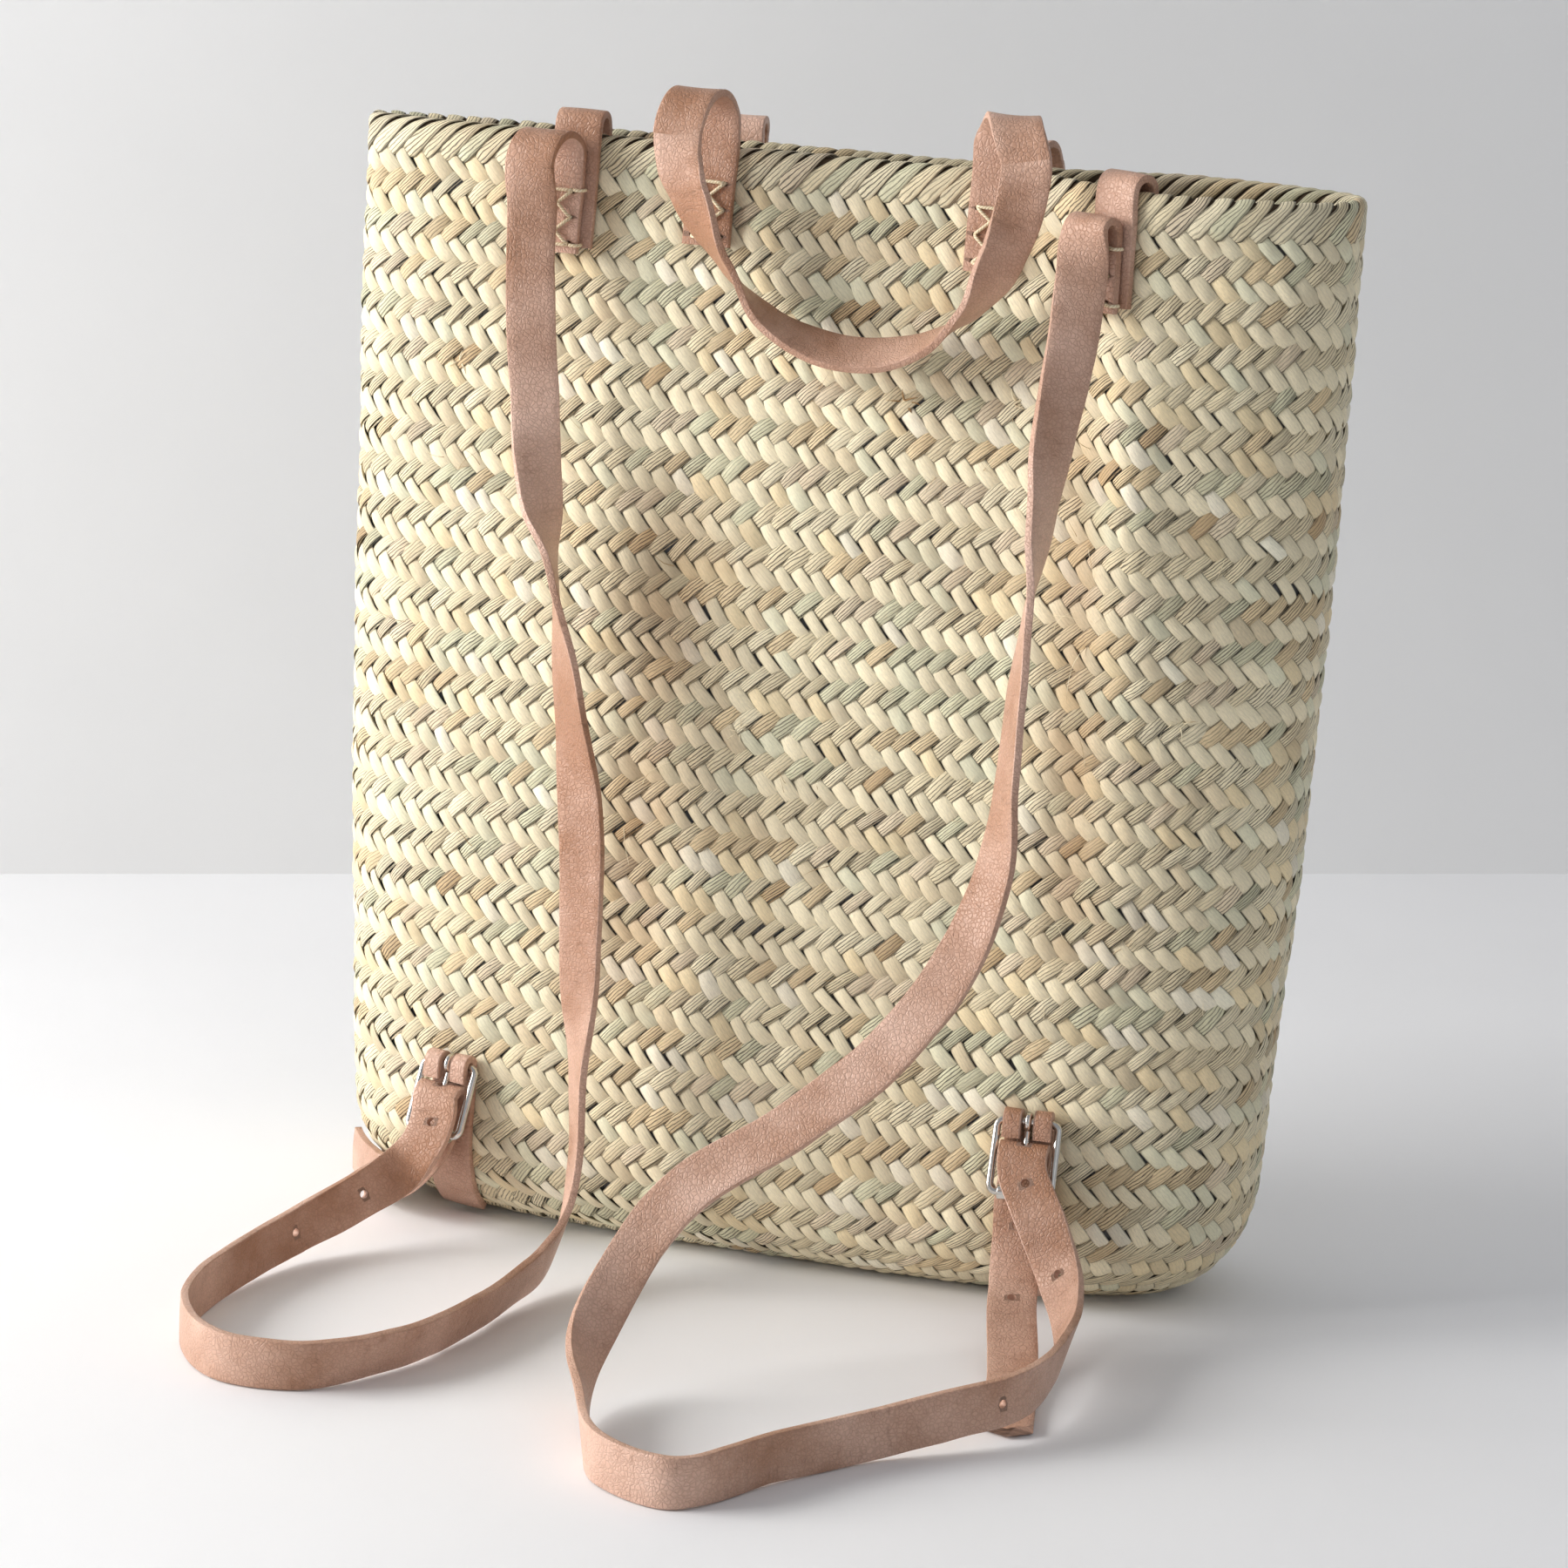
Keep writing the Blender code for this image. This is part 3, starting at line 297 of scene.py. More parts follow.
@dataclass(frozen=True)
class LeatherFinish:
    """One side of vegetable-tanned leather.

    The grain side is creased and has a low sheen, with painted shade in its creases and folds, the flesh side
    is napped and the edge is dark and fibrous.
    """

    zone: Zone
    pale: Colour
    deep: Colour
    roughness: float
    pebble: float
    cloud_scale: float = 26.0
    patch_scale: float = 8.0
    fine_scale: float = 1150.0
    warp_scale: float = 240.0
    warp: float = 0.0016
    cell_scale: float = 620.0
    fold_scale: float = 330.0
    nap_scale: float = 420.0
    darkest: float = 0.55
    relief: float = -0.00028

    def material(self) -> bpy.types.Material:
        """The finish, on the strap's own map in metres."""
        graph = FinishGraph(f"leather_{self.zone.name.lower()}")
        across, along, _ = graph.parts(graph.uv("strap_map"))
        seed = graph.attribute("strap_seed").outputs["Fac"]
        flat = graph.vector(across, along, seed)
        cloud = graph.noise(flat, self.cloud_scale, 4.0, 0.6)
        fine = graph.noise(flat, self.fine_scale, 2.0, 0.6)
        if self.zone is Zone.GRAIN:
            warp = graph.noise(flat, self.warp_scale, 2.0)
            bent = graph.vector(graph.plus(across, graph.times(warp, self.warp)), along, seed)
            sockets = {"Vector": bent, "Scale": self.cell_scale}
            cells = graph.add("ShaderNodeTexVoronoi", sockets, feature="DISTANCE_TO_EDGE").outputs["Distance"]
            crease = graph.spread(cells, 0.0, 0.16, 1.0, 0.0)
            fold_place = graph.vector(graph.times(across, 0.35), along, seed)
            folds = graph.spread(graph.noise(fold_place, self.fold_scale, 3.0, 0.6), 0.56, 0.70)
            fold_lines = graph.times(folds, graph.spread(cloud, 0.40, 0.62, 0.2, 1.0))
            relief = graph.plus(graph.times(crease, 0.55), graph.times(fold_lines, 0.7))
            # Painted shade: the grain's creases and folds are darkened in the colour.
            shade = graph.times(relief, 0.42)
        else:
            nap = graph.noise(flat, self.nap_scale, 5.0, 0.75)
            relief = graph.sum("SUBTRACT", graph.times(fine, -0.5), nap)
            shade = graph.spread(nap, 0.35, 0.65, 0.42, 0.0)
        patch = graph.noise(flat, self.patch_scale, 2.0, 0.5)
        tone = graph.spread(graph.mixed(0.55, cloud, patch), 0.38, 0.62)
        colour = graph.mixed(tone, self.pale, self.deep)
        colour = graph.mixed(shade, colour, faded(self.deep, self.darkest))
        return graph.finished(
            Base_Color=colour,
            Roughness=graph.spread(fine, 0.3, 0.7, self.roughness - 0.07, self.roughness + 0.07),
            Normal=graph.bumped(relief, self.pebble, self.relief),
            Specular_IOR_Level=0.35,
        )


@dataclass(frozen=True)
class ThreadFinish:
    """Waxed thread of two twisted plies, with painted shade in the grooves of the twist."""

    name: str = "waxed_thread"
    pale: Colour = shown(0.96, 0.91, 0.80)
    deep: Colour = shown(0.84, 0.76, 0.60)
    lay: float = 5200.0
    relief: float = 0.00012

    def material(self) -> bpy.types.Material:
        """The finish, its twist running round and along the thread."""
        graph = FinishGraph(self.name)
        around, along, _ = graph.parts(graph.uv("strap_map"))
        turn = graph.plus(graph.times(around, 2 * math.tau), graph.times(along, self.lay))
        twist = graph.spread(graph.sum("SINE", turn), -1.0, 1.0)
        # The colour is darker in the twist's grooves: painted shade.
        return graph.finished(
            Base_Color=graph.mixed(twist, self.deep, self.pale),
            Roughness=0.55,
            Normal=graph.bumped(twist, 0.6, self.relief),
        )


@dataclass(frozen=True)
class NickelFinish:
    """Polished nickel plate with fine handling scratches."""

    name: str = "nickel_plate"
    colour: Colour = shown(0.86, 0.85, 0.83)
    scratch_scale: float = 2600.0
    cloud_scale: float = 190.0
    relief: float = 0.00005

    def material(self) -> bpy.types.Material:
        """The finish, on object coordinates."""
        graph = FinishGraph(self.name)
        x, y, z = graph.parts(graph.object_place())
        scratch = graph.noise(graph.vector(graph.times(x, 0.2), y, z), self.scratch_scale, 3.0, 0.7)
        cloud = graph.noise(graph.object_place(), self.cloud_scale, 3.0)
        dull = faded(self.colour, 0.72)
        return graph.finished(
            Base_Color=graph.mixed(graph.spread(cloud, 0.45, 0.75, 0.0, 0.6), self.colour, dull),
            Metallic=1.0,
            Roughness=graph.spread(scratch, 0.35, 0.75, 0.12, 0.30),
            Normal=graph.bumped(scratch, 0.12, self.relief),
        )


@dataclass(frozen=True)
class PaintFinish:
    """Matt pale paint of the floor or the backdrop, faintly cloudy."""

    name: str
    colour: Colour
    roughness: float = 0.7
    cloud_scale: float = 1.6

    def material(self) -> bpy.types.Material:
        """The finish, on object coordinates."""
        graph = FinishGraph(self.name)
        cloud = graph.noise(graph.object_place(), self.cloud_scale, 4.0, 0.6)
        shade = faded(self.colour, 0.95)
        return graph.finished(
            Base_Color=graph.mixed(graph.spread(cloud, 0.35, 0.65), self.colour, shade),
            Roughness=self.roughness,
            Specular_IOR_Level=0.3,
        )


@dataclass(frozen=True)
class Bend:
    """A bend in soft leather between two bodies, from its start to its end."""

    first: str
    second: str
    start: Vector
    end: Vector


def dressed(
    piece: bpy.types.Object,
    finishes: Sequence[bpy.types.Material],
    body: str | Bend,
    nodes: Sequence[str] = (),
) -> bpy.types.Object:
    """Gives a piece its finishes, its body where it rides on one, and the solids that it stands for, and
    reports it.

    Args:
        piece: The finished piece.
        finishes: Its materials, in the order of its faces' numbers.
        body: The body that it rides on, or the bend that it makes between two, whose bodies the piece is not
            joined to.
        nodes: The solids that it replaces.

    Returns:
        The same piece.
    """
    piece.data.materials.clear()
    for finish in finishes:
        piece.data.materials.append(finish)
    if isinstance(body, Bend):
        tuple(body.start)
        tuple(body.end)
        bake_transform(piece)
    else:
        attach(piece, body)
    if nodes:
        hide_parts(*nodes)
    LOG.info("%s: %d faces", piece.name, len(piece.data.polygons))
    return piece


def new_piece(name: str, bm: bmesh.types.BMesh) -> bpy.types.Object:
    """An object at the origin that holds this mesh, which is freed."""
    mesh = bpy.data.meshes.new(name)
    bm.to_mesh(mesh)
    bm.free()
    piece = bpy.data.objects.new(name, mesh)
    bpy.context.scene.collection.objects.link(piece)
    return piece


def corner_places(piece: bpy.types.Object) -> np.ndarray:
    """A piece's corners, one in a row."""
    places = np.empty(len(piece.data.vertices) * 3, np.float32)
    piece.data.vertices.foreach_get("co", places)
    return places.reshape(-1, 3).astype(float)


def move_corners(piece: bpy.types.Object, places: np.ndarray) -> None:
    """Moves a piece's corners to these places."""
    piece.data.vertices.foreach_set("co", places.astype(np.float32).ravel())
    piece.data.update()


def remade(piece: bpy.types.Object) -> bpy.types.Object:
    """Gives a piece the mesh that its modifiers make, and returns it."""
    graph = bpy.context.evaluated_depsgraph_get()
    mesh = bpy.data.meshes.new_from_object(piece.evaluated_get(graph))
    piece.modifiers.clear()
    piece.data = mesh
    return piece


def repeated(name: str, bm: bmesh.types.BMesh, *counts: int) -> bpy.types.Object:
    """A new piece with this mesh over and over, one copy after the other in the same place."""
    piece = new_piece(name, bm)
    for count in counts:
        array = piece.modifiers.new("repeat", "ARRAY")
        array.count = count
        array.use_relative_offset = False
    return remade(piece)


def thicken(piece: bpy.types.Object, name: str, thickness: float) -> None:
    """Gives a sheet its thickness, inwards from where it lies."""
    shell = piece.modifiers.new(name, "SOLIDIFY")
    shell.thickness = thickness
    shell.offset = -1


def closed_ring(
    columns: int, rows: int, placed: Callable[[np.ndarray, np.ndarray], np.ndarray]
) -> bmesh.types.BMesh:
    """A smooth sheet that closes on itself round the basket.

    Args:
        columns: The number of faces round it.
        rows: The number of faces up it.
        placed: Gives the places for shares of the way round and up.

    Returns:
        The new mesh.
    """
    bm = bmesh.new()
    bmesh.ops.create_grid(bm, x_segments=columns, y_segments=rows, size=1)
    verts = list(bm.verts)
    corners = np.array([vert.co[:] for vert in verts])
    for vert, place in zip(verts, placed((corners[:, 0] + 1) / 2, (corners[:, 1] + 1) / 2)):
        vert.co = place
    bmesh.ops.remove_doubles(bm, verts=bm.verts, dist=WELD)
    for face in bm.faces:
        face.smooth = True
    return bm


def joined(name: str, pieces: Sequence[bpy.types.Object]) -> bpy.types.Object:
    """Puts several pieces' meshes into one new piece and removes them.

    Args:
        name: The new piece's name.
        pieces: The pieces to put together.

    Returns:
        The new piece.
    """
    with bpy.context.temp_override(
        active_object=pieces[0], selected_editable_objects=list(pieces), selected_objects=list(pieces)
    ):
        bpy.ops.object.join()
    pieces[0].name = name
    pieces[0].data.name = name
    return pieces[0]


def tinted(piece: bpy.types.Object, tint: np.ndarray, seed: np.ndarray, ribbed: np.ndarray) -> None:
    """Stores each corner's leaf colour, chance number and ribs on a piece."""
    colour = piece.data.attributes.new("leaf_tint", "FLOAT_COLOR", "POINT")
    colour.data.foreach_set("color", np.column_stack([np.clip(tint, 0, 1), seed]).astype(np.float32).ravel())
    folded = piece.data.attributes.new("leaf_rib", "FLOAT", "POINT")
    folded.data.foreach_set("value", ribbed.astype(np.float32))


@dataclass(frozen=True)
class BasketForm:
    """The outer shape: an oval foot that closes to a slot at the mouth, with a rounded bottom edge."""

    height: float = 0.436
    rim_half_width: float = 0.199
    base_half_width: float = 0.183
    base_half_depth: float = 0.066
    mouth_half_depth: float = 0.013
    near_bulge: float = 0.034
    far_bulge: float = 0.020
    bulge_start: float = 0.072
    bulge_length: float = 0.064
    edge_radius: float = 0.040
    wall: float = 0.005
    rim_band: float = 0.0125
    rim_proud: float = 0.0005
    plan_power: float = 2.8
    width_taper: float = 2.2
    depth_taper: float = 1.3
    flats: int = 80

    def plan(self, turn: np.ndarray, z: float, inset: float) -> np.ndarray:
        """Points round the outer wall.

        Args:
            turn: Angles round the plan, from +X towards +Y.
            z: The height.
            inset: How far the points are drawn in from the wall.

        Returns:
            One point for each angle.
        """
        rise = min(max(z / self.height, 0.0), 1.0)
        taper = (self.rim_half_width - self.base_half_width) * (1 - rise) ** self.width_taper
        share = np.cos(turn)
        x = (self.rim_half_width - taper - inset) * share
        near = np.sin(turn) < 0
        bulge = np.where(near, self.near_bulge, self.far_bulge)
        mouth = self.mouth_half_depth + bulge * eased((x - self.bulge_start) / self.bulge_length)
        depth = self.base_half_depth + (mouth - self.base_half_depth) * rise**self.depth_taper - inset
        y = depth * np.maximum(1 - np.abs(share) ** self.plan_power, 0.0) ** (1 / self.plan_power)
        return np.stack([x, np.where(near, -y, y), np.full_like(x, z)], axis=-1)

    def wall_y(self, side: Side, x: float, z: float) -> float:
        """The y of the wall on the flats between the plan's points."""
        inset = 0.0
        if z < self.edge_radius:
            inset = self.edge_radius - math.sqrt(self.edge_radius**2 - (self.edge_radius - z) ** 2)
        rise = min(max(z / self.height, 0.0), 1.0)
        taper = (self.rim_half_width - self.base_half_width) * (1 - rise) ** self.width_taper
        step = math.tau / self.flats
        turn = math.acos(x / (self.rim_half_width - taper - inset))
        ends = side.value * step * np.array([math.floor(turn / step), math.ceil(turn / step)])
        first, second = self.plan(ends, z, inset)
        share = (x - first[0]) / (second[0] - first[0]) if first[0] != second[0] else 0.0
        return float(first[1] + (second[1] - first[1]) * share)


class SurfaceChart:
    """Places on a face of the basket, from a share of the way round it and a distance up its section.

    Args:
        form: The basket's shape.
        section: Rows of height and inset, from the face's start to its end.
        around: The number of places that the chart holds round the basket.
    """

    def __init__(self, form: BasketForm, section: np.ndarray, around: int = 1080) -> None:
        fine = np.linspace(0.0, math.tau, 8 * around + 1)
        rings = []
        for z, inset in section:
            ring = form.plan(fine, z, inset)
            steps = np.linalg.norm(np.diff(ring, axis=0), axis=1)
            reach = np.concatenate([[0.0], np.cumsum(steps)])
            turn = np.interp(np.arange(around) / around * reach[-1], reach, fine)
            rings.append(form.plan(turn, z, inset))
        self.places = np.array(rings)
        along = np.roll(self.places, -1, axis=1) - np.roll(self.places, 1, axis=1)
        normal = np.cross(along, np.gradient(self.places, axis=0))
        self.normals = normal / np.linalg.norm(normal, axis=2, keepdims=True)
        lengths = np.linalg.norm(np.diff(section, axis=0), axis=1)
        self.reach = np.concatenate([[0.0], np.cumsum(lengths)])
        self.around = around

    def at(self, around: np.ndarray, up: np.ndarray) -> tuple[np.ndarray, np.ndarray]:
        """Places and outward directions.

        Args:
            around: Shares of the way round, where whole numbers are the same place.
            up: Distances along the section.

        Returns:
            The places and the outward directions there.
        """
        row = np.interp(up, self.reach, np.arange(len(self.reach)))
        low = np.minimum(row.astype(int), len(self.reach) - 2)
        row_share = (row - low)[:, None]
        column = (around % 1.0) * self.around
        left = column.astype(int) % self.around
        right = (left + 1) % self.around
        column_share = (column - np.floor(column))[:, None]
        found = []
        for table in (self.places, self.normals):
            lower = table[low, left] * (1 - column_share) + table[low, right] * column_share
            upper = table[low + 1, left] * (1 - column_share) + table[low + 1, right] * column_share
            found.append(lower * (1 - row_share) + upper * row_share)
        found[1] /= np.linalg.norm(found[1], axis=1, keepdims=True)
        return found[0], found[1]


@dataclass(frozen=True)
class LeafTones:
    """The colours that a row of leaves is drawn from, and how often each comes."""

    colours: tuple[Colour, ...]
    weights: tuple[float, ...]
    steady: float
    shade: float = 0.08
    darkest: float = 0.82
    palest: float = 1.10

    def drawn(self, rng: np.random.Generator, rows: int, columns: int) -> np.ndarray:
        """One colour a leaf, where a leaf often takes its neighbour's colour.

        Args:
            rng: The seeded source of chance.
            rows: The number of rows.
            columns: The number of leaves in a row.

        Returns:
            An array of rows by columns by three.
        """
        weights = np.array(self.weights) / sum(self.weights)
        picks = rng.choice(len(self.colours), size=(rows, columns), p=weights)
        steady = rng.random((rows, columns)) < self.steady
        for column in range(1, columns):
            picks[:, column] = np.where(steady[:, column], picks[:, column - 1], picks[:, column])
        shade = 1.0 + self.shade * rng.standard_normal((rows, columns, 1))
        return np.array(self.colours)[picks] * np.clip(shade, self.darkest, self.palest)


PLUMP_TONES = LeafTones(
    (
        shown(0.955, 0.905, 0.775),
        shown(0.915, 0.895, 0.775),
        shown(0.945, 0.87, 0.71),
        shown(0.97, 0.935, 0.84),
        shown(0.91, 0.845, 0.71),
    ),
    (0.56, 0.13, 0.13, 0.11, 0.07),
    0.22,
)
RIBBED_TONES = LeafTones(
    (
        shown(0.92, 0.86, 0.72),
        shown(0.87, 0.85, 0.72),
        shown(0.90, 0.81, 0.65),
        shown(0.91, 0.84, 0.72),
        shown(0.95, 0.90, 0.77),
        shown(0.80, 0.69, 0.53),
    ),
    (0.37, 0.16, 0.15, 0.09, 0.20, 0.03),
    0.22,
)


@dataclass(frozen=True)
class LeafRun:
    """How one leaf lies where it passes over two others: sizes in millimetres of an unstretched braid.

    Args:
        centre: The middle of the run in a cell of the braid.
        along: The way from the middle to where the leaf goes under.
        across: The way from the middle to the leaf's edge.
        rise: How far its middle stands above its ends.
        crown: How far it swells between its edges.
        ribbed: How folded its surface is.
        inside: Whether it lies on the basket's inner face.
        split: Which of the two strips of a split leaf it is, 0 where it is whole.
    """

    centre: tuple[float, float]
    along: tuple[float, float]
    across: tuple[float, float]
    rise: float
    crown: float
    ribbed: float
    inside: bool = False
    split: int = 0

    @property
    def segments(self) -> tuple[int, int]:
        """The number of faces along it and across it."""
        if self.inside:
            return 6, 3
        return 8, 1 if self.split == 2 else 4


@dataclass
class Twill:
    """The two-over, two-under braid of split palm leaf.

    Pitch, period and thickness are in metres, and the sizes of a cell and in it are in millimetres. A cell of
    the braid holds one plump leaf and one ribbed leaf on each face.
    """

    columns: int = 108
    pitch: float = 0.008
    period: float = 0.01598
    lean: float = 0.06
    thickness: float = 0.005
    cell_width: float = 8.0
    cell_height: float = 16.0
    overlap: float = 1.35
    bed: float = -1.3
    arch: float = 0.62
    slope: float = 0.16
    breadth: float = 1.07
    lift_chance: float = 0.12
    roll_chance: float = 0.16
    wave_chance: float = 0.05
    breadth_chance: float = 0.11
    bend_chance: float = 0.10
    bend_limit: float = 0.30
    slide_chance: float = 0.04
    shift_chance: float = 0.07
    unsplit: float = 0.35
    runs: tuple[LeafRun, ...] = (
        LeafRun((2.0, 2.0), (4.0, 4.0), (-2.0, 2.0), 1.30, 0.75, 1.0, split=1),
        LeafRun((2.0, 2.0), (4.0, 4.0), (-2.0, 2.0), 1.05, 0.35, 0.8, split=2),
        LeafRun((6.0, 10.0), (-4.0, 4.0), (-2.0, -2.0), 1.15, 0.90, 0.12),
        LeafRun((2.0, 10.0), (4.0, 4.0), (2.0, -2.0), 1.00, 0.45, 0.8, inside=True),
        LeafRun((6.0, 2.0), (-4.0, 4.0), (2.0, 2.0), 0.90, 0.80, 0.15, inside=True),
    )

    def cell(self) -> bmesh.types.BMesh:
        """One cell of closed leaf strips, whose corners hold (along, across, which run)."""
        bm = bmesh.new()
        layer = bm.loops.layers.uv.new("leaf_map")
        for index, run in enumerate(self.runs):
            steps, sides = run.segments
            grid = bmesh.ops.create_grid(bm, x_segments=steps, y_segments=sides, size=1)["verts"]
            faces = {face for vert in grid for face in vert.link_faces}
            for face in faces:
                face.smooth = True
                for loop in face.loops:
                    loop[layer].uv = (loop.vert.co.y, loop.vert.co.x * 2 * self.overlap)
            rim = list({edge for vert in grid for edge in vert.link_edges if edge.is_boundary})
            for edge in rim:
                edge.smooth = False
            for face in bmesh.ops.edgeloop_fill(bm, edges=rim)["faces"]:
                face.normal_update()
                if face.normal.z > 0:
                    face.normal_flip()
            bmesh.ops.scale(bm, vec=(self.overlap, 1.0, 1.0), verts=grid)
            bmesh.ops.translate(bm, vec=(0, 0, index), verts=grid)
        return bm

    def laid(
        self, corners: np.ndarray, rows: int, columns: int, first: int, rng: np.random.Generator
    ) -> dict[str, np.ndarray]:
        """Where each corner lies in the flat braid, with its leaf's colour.

        Args:
            corners: The repeated cell's corners, as (along, across, which run).
            rows: The number of rows of cells.
            columns: The number of cells in a row.
            first: The first row's number in the whole braid.
            rng: The seeded source of chance.

        Returns:
            Arrays of distance round, distance up, height and tint for each corner.
        """
        count = rows * columns
        each = len(corners) // count
        copy = np.repeat(np.arange(count), each)
        row, column = copy // columns, copy % columns
        kind = np.rint(corners[:, 2]).astype(int)
        table = {
            key: np.array([getattr(run, key) for run in self.runs], float)[kind]
            for key in ("centre", "along", "across", "rise", "crown", "ribbed", "inside", "split")
        }
        chance = rng.standard_normal((7, count, len(self.runs)))
        chance[:, :, 1] = 0.7 * chance[:, :, 0] + 0.3 * chance[:, :, 1]
        slide, shift, turn, width, roll, lift, wave = (table_of[copy, kind] for table_of in chance)
        share = rng.uniform(0.66, 0.92, count)[copy]
        share = np.where(rng.random(count)[copy] < self.unsplit, 0.98, share)
        along, across = corners[:, 0], corners[:, 1]
        whole = (across + 1) / 2
        across = np.where(table["split"] == 1, 1 - (1 - whole) * (share + 1), across)
        across = np.where(table["split"] == 2, -1 + whole * np.maximum(0.93 - share, 0.02), across)
        arch = 1 - self.arch * np.abs(along) ** 2.4
        swell = (1 - np.abs(across) ** 4.0) * (0.55 + 0.45 * arch)
        height = self.bed + table["rise"] * arch + table["crown"] * swell - self.slope * across
        ripple = np.sin(along * 3.0 + across * 2.0)
        height += (
            self.lift_chance * lift + self.roll_chance * roll * across + self.wave_chance * wave * ripple
        )
        height = np.where(table["inside"] > 0, -self.thickness * 1000 - height, height)
        bend = np.clip(along * self.bend_chance * turn, -self.bend_limit, self.bend_limit)
        spread = across * (self.breadth + self.breadth_chance * np.clip(width, -2, 1.5)) + bend
        flat = table["along"] * (along + self.slide_chance * slide)[:, None]
        flat = flat + table["across"] * (spread + self.shift_chance * shift)[:, None] + table["centre"]
        x = column * self.cell_width + flat[:, 0]
        y = row * self.cell_height + flat[:, 1]
        around = x + self.lean * (y + self.cell_height * first)
        plump = PLUMP_TONES.drawn(rng, rows, columns).reshape(count, 3)
        ribbed = RIBBED_TONES.drawn(rng, rows, columns).reshape(count, 3)
        colour = np.where((table["ribbed"] > 0.5)[:, None], ribbed[copy], plump[copy])
        return {
            "round": around / self.cell_width * self.pitch,
            "up": (y / self.cell_height + first) * self.period,
            "height": height / 1000.0,
            "tint": colour,
            "seed": rng.random((count, len(self.runs)))[copy, kind],
            "ribbed": table["ribbed"] * (0.35 + 0.65 * rng.random((count, len(self.runs)))[copy, kind]),
        }


@dataclass(frozen=True)
class Hollow:
    """A sagged, browner stretch of the near wall, browner partly from a stain and partly from painted shade
    of the hollow. Its middle is given at the height that it leans about.
    """

    middle: float
    low: float
    high: float
    width: float
    slant: float
    pivot: float = 0.22
    ease: float = 0.05

    def depth(self, x: np.ndarray, z: np.ndarray) -> np.ndarray:
        """How deep it is at each place, from 0 to 1."""
        across = (x - self.middle - self.slant * (z - self.pivot)) / self.width
        upright = eased((z - self.low) / self.ease) * eased((self.high - z) / self.ease)
        return np.exp(-(across**2)) * upright


